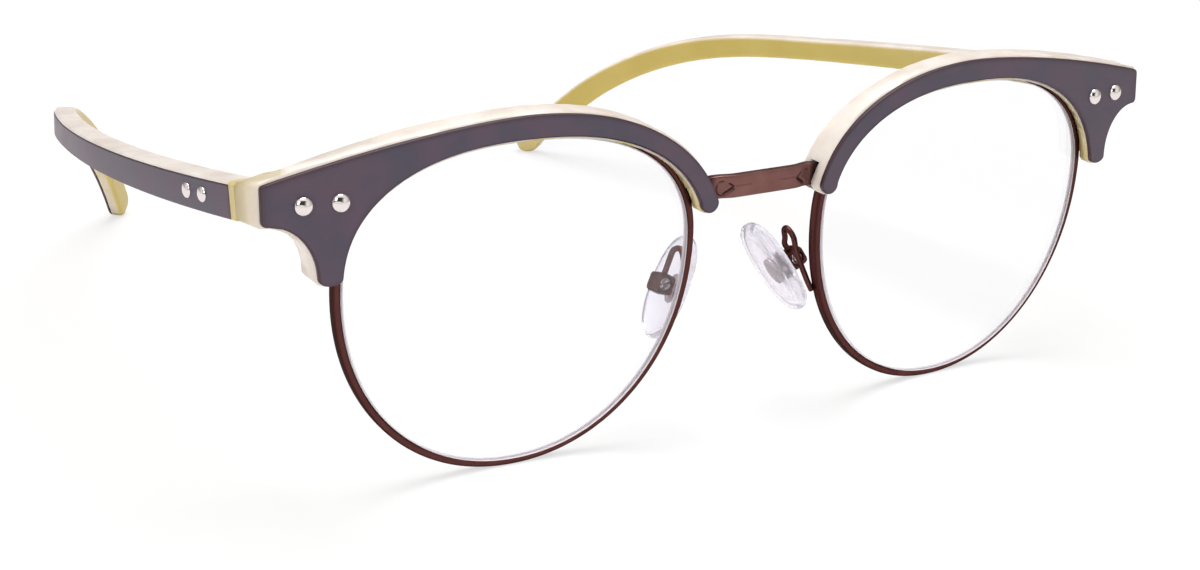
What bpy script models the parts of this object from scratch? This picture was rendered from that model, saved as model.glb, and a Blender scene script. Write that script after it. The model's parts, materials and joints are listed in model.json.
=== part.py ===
"""Browline reading glasses, modelled in metres with +Z up and the front facing -Y.

Everything is laid out in the front frame: the lens plane is upright there, X runs to the wearer's left,
and the origin is midway between the lenses, just below their boxed centre height. One empty then stands
the glasses on their rim bottoms and temple tips. Each piece is made for the wearer's left side and mirrored."""

import math

import bmesh
import bpy
import numpy as np
from mathutils import Matrix, Vector

# Clearances
seat_gap = 0.0003
glue_gap = 0.0002
lens_gap = 0.00012
running_gap = 0.00006
cutter_overrun = 0.0010
merge_gap = 0.000005
edge_angle = math.radians(35)

# Lenses: the size that such a frame is sold by is lens width, bridge gap and temple length
lens_width = 0.0496
lens_top = 0.0228
lens_foot = 0.0212
bridge_gap = 0.0208
widest_rise = 0.0058
top_exponent = 2.32
low_exponent = 2.08
wrap_angle = math.radians(3.0)
rim_back = 0.0004
lens_edge = 0.0018
lens_bevel_rise = 0.00055
lens_bevel_foot = 0.00045
lens_front_radius = 0.2500
lens_back_radius = 0.3200
lens_outer_x = bridge_gap / 2 + lens_width

# Eyewires: a grooved wire, split at the rim lock
wire_radial = 0.00085
wire_depth = 0.0015
wire_chamfer = 0.0002
groove_depth = 0.0005
groove_half = 0.0005
split_height = 0.0110
split_gap = 0.0003

# Browline face: a shallow cylinder, leaning back as it rises
face_forward = 0.00402
face_radius = 0.5420
face_lean = 0.114
face_lean_height = 0.0150
brow_side = 0.00035
brow_cover = 0.00015
brow_width = 0.0032
brow_height = 0.0029
upper_exponent = 2.22
brow_taper = 1.6
nose_taper = 0.0005
nose_end_height = 0.0118
corner_reach = 0.0099
corner_x = lens_outer_x + corner_reach
corner_top = 0.0202
corner_bottom = 0.0152
corner_round = 0.0006
leg_reach = 0.0033
leg_outer_x = lens_outer_x + leg_reach
leg_foot_height = 0.0083
foot_inner_height = 0.0083
foot_drop = 0.0009

# Laminate: a dark front layer on a deep translucent layer
dark_layer = 0.0004
dark_chamfer = 0.00015
lip_side = 0.00015
lip_crown = 0.0003
cream_margin = 0.0003
cream_chamfer = 0.0004
cream_depth = 0.0031
nose_extra_depth = 0.0010
nose_extra_run = 0.0120
block_back = 0.0032
arch_end_inset = 0.0080
arch_end_x = lens_outer_x - arch_end_inset
block_inset = 0.0025
block_start_x = lens_outer_x - block_inset
seam_y = 0.0060
seam_step = 0.0001

# Bridge bar
bar_height = 0.0031
bar_thickness = 0.0012
bar_front = 0.0030
bar_bottom = 0.0114
bar_flat_half = 0.0045
bar_droop_start = 0.0060
bar_droop = 0.0005
bar_sweep = 0.0011
bar_sweep_end = 0.0095

# Rim lock: two blocks on the ends of the split eyewire, the upper one with a lug under the hinge
lock_reach = 0.0026
lock_outer_x = lens_outer_x + lock_reach
lock_depth = 0.0018
lock_front = 0.0013
upper_block_height = 0.0021
lower_block_height = 0.0019
lock_screw_inset = 0.0012
lock_screw_shank = 0.0005
lock_screw_head = 0.0008
lug_thickness = 0.0006
lug_margin = 0.0013
lug_height = 0.0034
stem_width = 0.0024

# Hinge
hinge_reach = 0.0056
hinge_x = lens_outer_x + hinge_reach
hinge_y = 0.0063
knuckle_radius = 0.0011
knuckle_height = 0.00115
knuckle_gap = 0.0001
leaf_thickness = 0.0007
leaf_height = 0.0036
web_thickness = 0.0009
temple_leaf_start = 0.0024
temple_leaf_end = 0.0146
temple_leaf_height = 0.0032

# Temples
temple_length = 0.1380
temple_splay = math.radians(-6.8)
temple_bow = math.radians(37.1)
ear_turn = math.radians(11.2)
ear_turn_start = 0.0723
ear_turn_run = 0.0415
temple_drop = math.radians(9.95)
ear_drop = math.radians(69.5)
ear_drop_start = 0.0721
ear_drop_run = 0.1016
temple_step = 0.0010
temple_outer_x = corner_x + temple_step
temple_hinge_z = 0.0169
hinge_end_height = 0.0046
waist_height = 0.0036
ear_height = 0.0044
waist_place = 0.0680
hinge_end_thickness = 0.0039
waist_thickness = 0.0036
ear_thickness = 0.0023
temple_round = 0.0006
dark_start = 0.0014
tip_round = 0.0026
tip_share = 0.9

# Rivets and screws
rivet_head = 0.0010
rivet_dome = 0.0006
front_rivet_head = 0.0012
front_rivet_dome = 0.0007
rivet_shank = 0.0006
rivet_gap = 0.0001
rivet_tail = 0.0002
inner_rivet_reach = 0.0003
outer_rivet_reach = 0.00485
front_rivet_x = (lens_outer_x + inner_rivet_reach, lens_outer_x + outer_rivet_reach)
front_rivet_z = 0.0174
temple_rivet_place = (0.0081, 0.0122)
screw_shank = 0.0006
screw_head = 0.0010
screw_head_height = 0.0005
slot_width = 0.00025
slot_depth = 0.00025
brow_screw_inset = 0.0008
brow_screw_x = bridge_gap / 2 - brow_screw_inset

# Nose pads, their arms and boxes
pad_pivot_inset = 0.0009
pad_pivot_back = 0.0042
pad_pivot_drop = 0.0017
pad_pivot = (bridge_gap / 2 + pad_pivot_inset, pad_pivot_back, -pad_pivot_drop)
pad_tilt = math.radians(30)
pad_lean = math.radians(14)
pad_splay = math.radians(-4)
pad_reach = 0.00175
pad_rise = 0.0004
pad_behind = 0.0011
pad_half_length = 0.0073
pad_half_width = 0.00415
pad_exponent = 2.3
pad_thickness = 0.0022
pad_edge = 0.0005
pad_crown = 0.0005
insert_half_length = 0.0021
insert_half_width = 0.0013
insert_thickness = 0.0004
insert_depth = 0.0008
insert_share = 0.5
eye_radius = 0.0008
eye_thickness = 0.0008
post_radius = 0.00045
box_length = 0.0023
box_side = 0.0026
box_corner = 0.0005
box_slot = 0.0019
recess_radius = 0.00105
recess_depth = 0.0006
pad_screw_shank = 0.0005
pad_screw_head = 0.0009
arm_radius = 0.0004
arm_root_z = -0.0050
arm_leave_z = -0.0033
arm_root_back = 0.0004
arm_leave_back = 0.0012
arm_front_leg = (-0.0016, -0.0023, 0.0019)
arm_loop_top = (-0.0021, -0.0007, 0.0046)
arm_rear_leg = (-0.0015, -0.0001, 0.0033)

# Counts
rim_points = 56
arch_points = 22
temple_stations = 22
turn_steps = 12
slice_count = 15
pad_points = 32
arm_steps = 4
path_steps = 561

materials = {}


def linear(hex_colour):
    """An sRGB hex colour as linear red, green, blue and full alpha."""
    shares = [int(hex_colour[i : i + 2], 16) / 255 for i in (0, 2, 4)]
    return [((c + 0.055) / 1.055) ** 2.4 if c > 0.04045 else c / 12.92 for c in shares] + [1.0]


def material(name, hex_colour, roughness, metallic=0.0, transmission=0.0, ior=1.5):
    """A Principled BSDF material, made once for each name."""
    if name not in materials:
        made = bpy.data.materials.new(name)
        made.use_nodes = True
        shader = made.node_tree.nodes["Principled BSDF"]
        shader.inputs["Base Color"].default_value = linear(hex_colour)
        shader.inputs["Roughness"].default_value = roughness
        shader.inputs["Metallic"].default_value = metallic
        shader.inputs["Transmission Weight"].default_value = transmission
        shader.inputs["IOR"].default_value = ior
        made.diffuse_color = linear(hex_colour)
        materials[name] = made
    return materials[name]


def dark_acetate():
    return material("dark_acetate", "554F60", 0.45)


def cream_acetate():
    return material("cream_acetate", "E6DBC2", 0.35, transmission=0.15)


def gunmetal():
    return material("brown_gunmetal", "5A3A38", 0.30, metallic=0.9)


def polished_steel():
    return material("polished_steel", "C9C7C6", 0.18, metallic=1.0)


def clear_lens():
    return material("clear_lens", "F4F4F8", 0.03, transmission=1.0, ior=1.5)


def clear_silicone():
    return material("clear_silicone", "E9E4F0", 0.20, transmission=0.9, ior=1.43)


def smooth(mesh):
    """Shades a mesh smooth where it is round and sharp at its edges."""
    mesh.shade_smooth()
    mesh.set_sharp_from_angle(angle=edge_angle)


def add_object(name, mesh, finish, parent):
    """Links a mesh as one named part."""
    mesh.name = name
    mesh.materials.clear()
    mesh.materials.append(finish)
    smooth(mesh)
    made = bpy.data.objects.new(name, mesh)
    parts.objects.link(made)
    made.parent = parent
    return made


def add_cutter(mesh, parent="stand"):
    """Links a mesh as a helper for one join or cut."""
    made = bpy.data.objects.new("cutter", mesh)
    made.hide_render = True
    made.display_type = "WIRE"
    cutters.objects.link(made)
    made.parent = bpy.data.objects.get(parent) if parent else None
    return made


def settled(made):
    """Replaces an object's mesh by its evaluated one, with its modifiers used up."""
    bpy.context.view_layer.update()
    graph = bpy.context.evaluated_depsgraph_get()
    mesh = bpy.data.meshes.new_from_object(made.evaluated_get(graph))
    made.modifiers.clear()
    made.data = mesh
    return made


def combine(made, others, operation):
    """Joins helpers to the object, or cuts them from it, and removes them."""
    for other in others:
        change = made.modifiers.new(operation.lower(), "BOOLEAN")
        change.operation = operation
        change.solver = "EXACT"
        change.object = other
    settled(made)
    for other in others:
        bpy.data.objects.remove(other)
    smooth(made.data)
    return made


def mesh_of(build):
    """A mesh from a function that fills a bmesh."""
    shape = bmesh.new()
    build(shape)
    mesh = bpy.data.meshes.new("shape")
    shape.to_mesh(mesh)
    shape.free()
    return mesh


def box_mesh(low, high):
    """A box between two corners."""
    low, high = Vector(low), Vector(high)
    place = Matrix.Translation((low + high) / 2) @ Matrix.Diagonal((*(high - low), 1))
    return mesh_of(lambda shape: bmesh.ops.create_cube(shape, size=1, matrix=place))


def rod_mesh(start, end, radius, steps):
    """A closed cylinder between two points."""
    start, end = Vector(start), Vector(end)
    turn = (end - start).to_track_quat("Z", "Y").to_matrix().to_4x4()
    place = Matrix.Translation((start + end) / 2) @ turn
    length = (end - start).length
    return mesh_of(
        lambda shape: bmesh.ops.create_cone(
            shape, cap_ends=True, segments=steps, radius1=radius, radius2=radius, depth=length, matrix=place
        )
    )


def turned_mesh(profile):
    """A profile of (radius, height) from the top of the axis to its foot, turned about Z."""
    mesh = bpy.data.meshes.new("profile")
    points = [(radius, 0, height) for radius, height in profile]
    mesh.from_pydata(points, [(i, i + 1) for i in range(len(points) - 1)], [])
    made = bpy.data.objects.new("profile", mesh)
    cutters.objects.link(made)
    turn = made.modifiers.new("turn", "SCREW")
    turn.steps = turn.render_steps = turn_steps
    turn.use_merge_vertices = True
    turn.merge_threshold = merge_gap
    mesh = settled(made).data
    bpy.data.objects.remove(made)
    return mesh


def curve_mesh(curve):
    """A curve's evaluated mesh, with its caps welded on."""
    made = bpy.data.objects.new("curve", curve)
    cutters.objects.link(made)
    bpy.context.view_layer.update()
    graph = bpy.context.evaluated_depsgraph_get()
    mesh = bpy.data.meshes.new_from_object(made.evaluated_get(graph))
    bpy.data.objects.remove(made)
    shape = bmesh.new()
    shape.from_mesh(mesh)
    bmesh.ops.remove_doubles(shape, verts=shape.verts, dist=merge_gap)
    bmesh.ops.recalc_face_normals(shape, faces=shape.faces)
    shape.to_mesh(mesh)
    shape.free()
    return mesh


def poly_curve(points, cyclic=False):
    """A curve datablock of one POLY spline."""
    curve = bpy.data.curves.new("line", "CURVE")
    curve.dimensions = "3D"
    spline = curve.splines.new("POLY")
    spline.points.add(len(points) - 1)
    spline.points.foreach_set("co", np.column_stack([points, np.ones(len(points))]).ravel())
    spline.use_cyclic_u = cyclic
    return curve


def loft_mesh(rings, capped=True):
    """Skins equal closed rings in order, with a flat cap on the first and the last."""
    rings = np.asarray(rings, float)
    count, around = rings.shape[:2]
    index = np.arange(count * around).reshape(count, around)
    ahead = np.roll(index, -1, axis=1)
    sides = np.stack([index[:-1], ahead[:-1], ahead[1:], index[1:]], axis=-1).reshape(-1, 4)
    faces = [tuple(face) for face in sides.tolist()]
    if capped:
        faces += [tuple(index[0][::-1].tolist()), tuple(index[-1].tolist())]
    mesh = bpy.data.meshes.new("loft")
    mesh.from_pydata(rings.reshape(-1, 3).tolist(), [], faces)
    shape = bmesh.new()
    shape.from_mesh(mesh)
    bmesh.ops.triangulate(shape, faces=[face for face in shape.faces if len(face.verts) > 4])
    bmesh.ops.recalc_face_normals(shape, faces=shape.faces)
    shape.to_mesh(mesh)
    shape.free()
    return mesh


def mirror(made):
    """The right-hand twin of a left-hand part, with its own place and rotation."""
    mesh = made.data.copy()
    mesh.transform(flip)
    mesh.flip_normals()
    parent = bpy.data.objects[made.parent.name.replace("_left", "_right")]
    twin = add_object(made.name.replace("_left", "_right"), mesh, made.data.materials[0], parent)
    twin.matrix_local = flip @ made.matrix_local @ flip


def joint_empty(name, frame):
    """An empty on a joint's axis, which carries the pieces that move about it."""
    made = bpy.data.objects.new(name, None)
    made.empty_display_size = knuckle_radius
    made.parent = stand
    made.matrix_local = frame
    parts.objects.link(made)
    return made


def carried(made, joint):
    """Hangs a part, laid out in the front frame, on a joint's empty."""
    made.parent = joint
    made.location = -joint.location


def bent(mesh, cuts, place):
    """Cuts a flat mesh across X, and moves each of its points to where a function puts it."""
    shape = bmesh.new()
    shape.from_mesh(mesh)
    for cut in cuts:
        every = shape.verts[:] + shape.edges[:] + shape.faces[:]
        bmesh.ops.bisect_plane(shape, geom=every, dist=merge_gap, plane_co=(cut, 0, 0), plane_no=(1, 0, 0))
    bmesh.ops.triangulate(shape, faces=shape.faces)
    for vert in shape.verts:
        vert.co = place(*vert.co)
    bmesh.ops.recalc_face_normals(shape, faces=shape.faces)
    shape.to_mesh(mesh)
    shape.free()
    return mesh


def lens_curve(angles, grow):
    """The lens outline grown outwards: half ellipses below its widest line, squarer ones above.

    Returns the distance towards the temple and the height, for angles from the temple side upwards."""
    angles = np.asarray(angles, float)
    cosine, sine = np.cos(angles), np.sin(angles)
    power = 2 / np.where(sine >= 0, top_exponent, low_exponent)
    rise = np.where(sine >= 0, lens_top - widest_rise, lens_foot + widest_rise) + grow
    out = (lens_width / 2 + grow) * np.sign(cosine) * np.abs(cosine) ** power
    up = widest_rise + rise * np.sign(sine) * np.abs(sine) ** power
    return out, up


def angle_at_height(height, grow, nasal=False):
    """The angle at which the grown outline passes a height, on its temple side or its nasal side."""
    above = height >= widest_rise
    rise = (lens_top - widest_rise if above else lens_foot + widest_rise) + grow
    exponent = top_exponent if above else low_exponent
    angle = math.asin((abs(height - widest_rise) / rise) ** (exponent / 2))
    angle = math.copysign(angle, height - widest_rise)
    return math.pi - angle if nasal else angle


def edge_x(height, grow, nasal=False):
    """Where the left lens's grown outline crosses a height."""
    out, _ = lens_curve(angle_at_height(height, grow, nasal), grow)
    return lens_centre_x + float(out)


def in_lens_plane(out, back, up):
    """Points of the left lens's own plane, which is wrapped round to the temple, in the front frame."""
    out, back, up = np.broadcast_arrays(out, back, up)
    x = lens_centre_x + out * math.cos(wrap_angle) - back * math.sin(wrap_angle)
    y = out * math.sin(wrap_angle) + back * math.cos(wrap_angle) + rim_back
    return np.stack([x, y, up], axis=-1)


def face_y(x, z):
    """The browline's front surface."""
    return -face_forward + x * x / (2 * face_radius) + face_lean * (z - face_lean_height)


def face_normal(x):
    """The direction straight out of the browline's front surface."""
    return Vector((x / face_radius, -1, face_lean)).normalized()


def rivet_point(x, y):
    """Where a brow rivet's axis, square to the front surface, passes a distance back."""
    start, away = Vector((x, face_y(x, front_rivet_z), front_rivet_z)), face_normal(x)
    return start + away * ((y - start.y) / away.y)


# Sizes that follow from the ones above
lens_centre_x = (lens_width + bridge_gap) / 2
wire_inner = lens_gap - groove_depth
wire_outer = wire_inner + wire_radial
rim_seat = wire_outer + seat_gap
cream_seat = rim_seat + glue_gap
cream_front = dark_layer + glue_gap
hinge_z = temple_hinge_z
knuckle_pitch = knuckle_height + knuckle_gap
block_edge_x = hinge_x + knuckle_radius + seat_gap
temple_start = (temple_outer_x - hinge_end_thickness / 2, seam_y, temple_hinge_z)
lug_front = block_back + glue_gap
lug_back = lug_front + lug_thickness
leaf_front = lug_back + glue_gap
leaf_back = leaf_front + leaf_thickness
lug_inner = rivet_point(front_rivet_x[0], lug_front).x - lug_margin
lug_outer = rivet_point(front_rivet_x[1], lug_front).x + lug_margin
upper_block_z = split_height + split_gap / 2
lower_block_z = split_height - split_gap / 2 - lower_block_height
bar_end_front = bar_sweep - bar_front
bar_middle_z = bar_bottom + bar_height / 2 - bar_droop
pad_screw_seat = box_length / 2 - recess_depth + running_gap


def lens_mesh():
    """A meniscus lens: a bevelled edge, and two shallow spheres that meet it."""
    angles = np.linspace(0, 2 * math.pi, rim_points, endpoint=False)
    edge_out, edge_up = lens_curve(angles, -lens_bevel_rise)
    reach = np.hypot(edge_out, edge_up)

    def surface(share, radius, back):
        sag = ((lens_width / 2) ** 2 - (reach * share) ** 2) / (2 * radius)
        return in_lens_plane(edge_out * share, back - sag, edge_up * share)

    ring_shares = (0.15, 0.6, 1.0)
    rings = [surface(share, lens_front_radius, -lens_edge / 2) for share in ring_shares]
    for grow, back in ((-lens_bevel_rise, -lens_bevel_foot), (0, 0), (-lens_bevel_rise, lens_bevel_foot)):
        out, up = lens_curve(angles, grow)
        rings.append(in_lens_plane(out, back, up))
    rings += [surface(share, lens_back_radius, lens_edge / 2) for share in reversed(ring_shares)]
    return loft_mesh(rings)


def eyewire_mesh():
    """A grooved wire, each point of its section following the lens outline, open at the rim lock."""
    split = angle_at_height(split_height, wire_outer)
    half_gap = split_gap / lens_width
    angles = np.linspace(split + half_gap, split - half_gap + 2 * math.pi, rim_points)
    depth, soft = wire_depth / 2, wire_chamfer
    section = [(wire_inner, -depth), (wire_outer - soft, -depth), (wire_outer, soft - depth)]
    section += [(wire_outer, depth - soft), (wire_outer - soft, depth), (wire_inner, depth)]
    section += [(wire_inner, groove_half), (wire_inner + groove_depth, 0), (wire_inner, -groove_half)]
    lines = []
    for grow, back in section:
        out, up = lens_curve(angles, grow)
        lines.append(in_lens_plane(out, back, up))
    return loft_mesh(np.stack(lines, axis=1))


def arc(centre, radii, start, end, count):
    """Points on an ellipse's arc in X and Z, from one angle in degrees to another."""
    angles = np.radians(np.linspace(start, end, count))
    return np.column_stack([centre[0] + radii[0] * np.cos(angles), centre[1] + radii[1] * np.sin(angles)])


def arch_sizes(grow, kind):
    """Half width, rise and exponent of an arch of the browline, grown outwards.

    They are the dark layer's lower arch, the deep layer's, a lip below it, and the upper arch of both."""
    side, crown, exponent = {
        "lower": (brow_side, -brow_cover, top_exponent),
        "lip": (brow_side - lip_side, -brow_cover - lip_crown, top_exponent),
        "upper": (brow_side + brow_width, brow_height - brow_cover, upper_exponent),
    }[kind]
    return lens_width / 2 + side + grow, lens_top + crown - widest_rise + grow, exponent


def nose_angle(height, grow, kind):
    """The angle at which an arch passes a height on its nasal side."""
    _, rise, exponent = arch_sizes(grow, kind)
    return math.pi - math.asin(((height - widest_rise) / rise) ** (exponent / 2))


def brow_arch(angles, grow, kind):
    """Points of one of the browline's arches in X and Z, which stand on the lens's widest line."""
    half, rise, exponent = arch_sizes(grow, kind)
    cosine, sine = np.cos(angles), np.sin(angles)
    out = half * np.sign(cosine) * np.abs(cosine) ** (2 / exponent)
    return np.column_stack([lens_centre_x + out, widest_rise + rise * sine ** (2 / exponent)])


def brow_outline(margin, lower, upper, kind="lower"):
    """The browline's outline: lower arch, leg, sweep to the end piece, top edge, upper arch and nose end."""
    low_start = nose_angle(nose_end_height, lower, kind)
    low_end = math.pi - nose_angle(foot_inner_height, lower, kind)
    lower_arch = brow_arch(np.linspace(low_start, low_end, arch_points), lower, kind)
    leg_x = leg_outer_x + margin
    foot_centre = ((lower_arch[-1, 0] + leg_x) / 2, leg_foot_height)
    foot_radii = (leg_x - foot_centre[0], foot_drop + margin)
    foot = arc(foot_centre, foot_radii, 195, 345, 6)
    end_x, low_z, top_z = corner_x + margin, corner_bottom - margin, corner_top + margin
    sweep_centre = (end_x - corner_round, leg_foot_height)
    sweep_radii = (sweep_centre[0] - leg_x, low_z - leg_foot_height)
    sweep = arc(sweep_centre, sweep_radii, 180, 90, 9)
    low_corner = arc((end_x - corner_round, low_z + corner_round), (corner_round, corner_round), -60, 0, 3)
    top_corner = arc((end_x - corner_round, top_z - corner_round), (corner_round, corner_round), 0, 70, 3)
    crown_z = lens_top - brow_cover + brow_height + upper
    run_shares = np.linspace(1, 0, 10)
    top_edge_x = lens_centre_x + (end_x - corner_round - lens_centre_x) * run_shares
    top_edge_z = crown_z - (crown_z - top_z) * run_shares**brow_taper
    top_edge = np.column_stack([top_edge_x, top_edge_z])
    nose_top = nose_angle(nose_end_height, upper - nose_taper, "upper")
    arch_angles = np.linspace(math.pi / 2, nose_top, arch_points * 2 // 3)[1:]
    narrowing = (arch_angles - math.pi / 2) / (nose_top - math.pi / 2)
    upper_arch = brow_arch(arch_angles, upper - nose_taper * narrowing, "upper")
    tip_centre = (upper_arch[-1] + lower_arch[0]) / 2
    tip_radius = np.linalg.norm(upper_arch[-1] - lower_arch[0]) / 2
    tip = arc(tip_centre, (tip_radius, tip_radius), 180, 360, 8)[1:-1]
    return np.vstack([lower_arch, foot, sweep, low_corner, top_corner, top_edge, upper_arch, tip])


def seam_line(x, z):
    """How far back the end block reaches at a point, to its seam with the temple, which is square to it."""
    *_, along = temple_path(np.zeros(1))
    ahead = np.array([x - temple_start[0], z - temple_start[2]]) @ along[0][[0, 2]]
    return seam_y - (seat_gap / 2 + ahead) / along[0][1]


def cream_back(x, z):
    """The deep layer's back: deepest at the nose, flat behind the end piece, then out to the seam."""
    nose_x = float(brow_arch(nose_angle(nose_end_height, 0, "upper"), 0, "upper")[0, 0])
    extra = nose_extra_depth * max(1 - max(x - nose_x, 0) / nose_extra_run, 0)
    arch = cream_front + cream_depth + extra
    if x <= arch_end_x:
        return face_y(x, z) + arch
    stations = (arch_end_x, block_start_x, block_edge_x - seam_step, block_edge_x)
    backs = (face_y(arch_end_x, z) + arch, block_back, block_back, seam_line(x, z))
    return float(np.interp(x, stations, backs))


def into_temple(x, z, share):
    """Draws the end wall's section towards the temple's end section, by the share of the way to the seam."""
    outer, middle = corner_x + cream_margin, (corner_top + corner_bottom) / 2
    height = corner_top - corner_bottom + 2 * cream_margin
    seam_x = block_edge_x + (x - block_edge_x) * (temple_outer_x - block_edge_x) / (outer - block_edge_x)
    seam_z = temple_hinge_z + (z - middle) * hinge_end_height / height
    return x + (seam_x - x) * share, z + (seam_z - z) * share


def layered_plate(outlines, depths):
    """Outlines stacked one behind the other and skinned, cut across X while flat, then bent onto the face.

    Each outline has a depth behind the face as a function of X and Z."""
    rings = [np.insert(outline, 1, float(layer), axis=1) for layer, outline in enumerate(outlines)]
    low_x, high_x = outlines[-1][:, 0].min(), outlines[-1][:, 0].max()
    cuts = list(np.linspace(low_x, high_x, slice_count)[1:-1])
    cuts += [arch_end_x, block_start_x, block_edge_x - seam_step, block_edge_x]

    def place(x, layer, z):
        behind = float(np.interp(layer, range(len(depths)), [depth(x, z) for depth in depths]))
        y = face_y(x, z) + behind
        if x < block_edge_x or behind <= cream_front:
            return x, y, z
        wall_start = face_y(x, z) + cream_front
        share = (y - wall_start) / (seam_line(x, z) - wall_start)
        x, z = into_temple(x, z, share)
        return x, y, z

    return bent(loft_mesh(rings), cuts, place)


def even(depth):
    """A depth that is the same all over."""
    return lambda x, z: depth


def dark_brow_mesh():
    outer = brow_outline(0, 0, 0)
    inner = brow_outline(-dark_chamfer, dark_chamfer, -dark_chamfer)
    return layered_plate([inner, outer, outer], [even(0), even(dark_chamfer), even(dark_layer)])


def cream_brow_mesh():
    front = brow_outline(0, 0, 0, "lip")
    body = brow_outline(cream_margin, 0, cream_margin, "lip")
    depths = [even(cream_front), even(cream_front + cream_chamfer)]
    return layered_plate([front, body, body], depths + [lambda x, z: cream_back(x, z) - face_y(x, z)])


def rim_cutter():
    """The eyewire's seat in the deep layer: a grown lens outline, from just ahead of the wire to the back."""
    out, up = lens_curve(np.linspace(0, 2 * math.pi, rim_points, endpoint=False), cream_seat)
    ahead, behind = -wire_depth / 2 - glue_gap, seam_y + cutter_overrun
    return add_cutter(loft_mesh([in_lens_plane(out, back, up) for back in (ahead, behind)]))


def rod_cutter(point, direction, start, end, radius):
    """A round cutter along a direction through a point."""
    point, direction = Vector(point), Vector(direction)
    return add_cutter(rod_mesh(point + direction * start, point + direction * end, radius, turn_steps))


def rivet_mesh(stack, head=rivet_head, rise=rivet_dome):
    """A domed rivet: its head rises from Z = 0, and its shank runs down through the stack."""
    turns = np.radians(np.linspace(0, 90, 5))
    dome = [(head * math.sin(turn), rise * math.cos(turn)) for turn in turns]
    return turned_mesh(dome + [(rivet_shank, 0), (rivet_shank, -stack), (0, -stack)])


def screw_mesh(length, shank=screw_shank, head=screw_head):
    """A slotted screw: its head rises from Z = 0, and its shank runs down."""
    top, soft = screw_head_height, screw_head_height / 3
    profile = [(0, top), (head - soft, top), (head, top - soft), (head, 0)]
    mesh = turned_mesh(profile + [(shank, 0), (shank, -length), (0, -length)])
    reach = head + cutter_overrun
    slot_low = (-reach, -slot_width / 2, top - slot_depth)
    slot = box_mesh(slot_low, (reach, slot_width / 2, top + cutter_overrun))
    made = bpy.data.objects.new("screw", mesh)
    cutters.objects.link(made)
    mesh = combine(made, [add_cutter(slot)], "DIFFERENCE").data
    bpy.data.objects.remove(made)
    return mesh


def fasten(name, mesh, seat, direction, parent):
    """Sets a turned fastener with its head's seat at a point and its head facing along a direction."""
    made = add_object(name, mesh, polished_steel(), parent)
    made.rotation_mode = "QUATERNION"
    made.rotation_quaternion = Vector(direction).to_track_quat("Z", "Y")
    made.location = Vector(seat) - parent.location
    return made


def temple_path(places):
    """Centre, outward, upward and onward directions of the left temple at distances from its seam.

    The direction turns inwards steadily and again behind the ear, and dips there; the path adds up its
    steps. The outward side is level, so that the section leans only with the dip."""
    fine = np.linspace(0, temple_length, path_steps)

    def eased(start, run):
        share = np.clip((fine - start) / run, 0, 1)
        return share * share * (3 - 2 * share)

    turn = temple_splay + temple_bow * fine / temple_length + ear_turn * eased(ear_turn_start, ear_turn_run)
    dip = temple_drop + ear_drop * eased(ear_drop_start, ear_drop_run)
    along = np.column_stack([-np.sin(turn) * np.cos(dip), np.cos(turn) * np.cos(dip), -np.sin(dip)])
    up = np.column_stack([-np.sin(turn) * np.sin(dip), np.cos(turn) * np.sin(dip), np.cos(dip)])
    steps = (along[1:] + along[:-1]) / 2 * (fine[1] - fine[0])
    centre = np.array(temple_start) + np.vstack([np.zeros(3), np.cumsum(steps, axis=0)])

    def at(values):
        return np.column_stack([np.interp(places, fine, column) for column in values.T])

    return at(centre), at(np.cross(along, up)), at(up), at(along)


def temple_height(places):
    """The temple narrows to its waist and widens behind the ear, and its tip is round."""
    stations = (0, waist_place, temple_length - tip_round)
    height = np.interp(places, stations, (hinge_end_height, waist_height, ear_height))
    into_tip = np.clip((places - temple_length + tip_round) / tip_round, 0, 1)
    return height * np.sqrt(1 - tip_share * into_tip**2)


def temple_thickness(places):
    stations = (0, waist_place, temple_length)
    return np.interp(places, stations, (hinge_end_thickness, waist_thickness, ear_thickness))


def temple_loft(places, section):
    """Skins a section, given as outward and upward offsets, along the temple."""
    centre, out, up, _ = temple_path(places)
    halves = zip(places, temple_thickness(places) / 2, temple_height(places) / 2)
    rings = []
    for i, (place, half, rise) in enumerate(halves):
        offsets = np.array(section(place, half, rise))
        rings.append(centre[i] + offsets[:, :1] * out[i] + offsets[:, 1:] * up[i])
    return loft_mesh(rings)


def temple_places(start):
    """Distances along the temple for its rings, closer together round the tip."""
    tip_start = temple_length - tip_round
    tip_shares = np.array([0.4, 0.7, 0.88, 1.0])
    blade = np.linspace(start, tip_start, temple_stations)
    return np.concatenate([blade, tip_start + tip_round * tip_shares])


def dark_section(place, half, rise):
    soft, inner = min(dark_chamfer, rise / 4), half - dark_layer
    low = [(inner, -rise), (half - soft, -rise), (half, soft - rise)]
    return low + [(out, -up) for out, up in reversed(low)]


def cream_section(place, half, rise):
    outer = half - cream_front if place >= dark_start - glue_gap / 2 else half
    soft = min(temple_round, rise / 3)
    low = [(-half, soft - rise), (soft - half, -rise), (outer, -rise)]
    return low + [(out, -up) for out, up in reversed(low)]


def dark_temple_mesh():
    return temple_loft(temple_places(dark_start), dark_section)


def cream_temple_mesh():
    strip = np.array([seat_gap / 2, dark_start - glue_gap, dark_start - glue_gap / 2])
    return temple_loft(np.concatenate([strip, temple_places(dark_start)[1:]]), cream_section)


def knuckle(level):
    """One hinge barrel; level 0 is the middle one."""
    middle = Vector((hinge_x, hinge_y, hinge_z + level * knuckle_pitch))
    half = Vector((0, 0, knuckle_height / 2))
    return add_cutter(rod_mesh(middle - half, middle + half, knuckle_radius, turn_steps))


def knuckle_web(low_x, low_y, high_x, high_y, level):
    """A web between a hinge barrel and its leaf."""
    middle = hinge_z + level * knuckle_pitch
    low = (low_x, low_y, middle - knuckle_height / 2)
    return add_cutter(box_mesh(low, (high_x, high_y, middle + knuckle_height / 2)))


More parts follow.
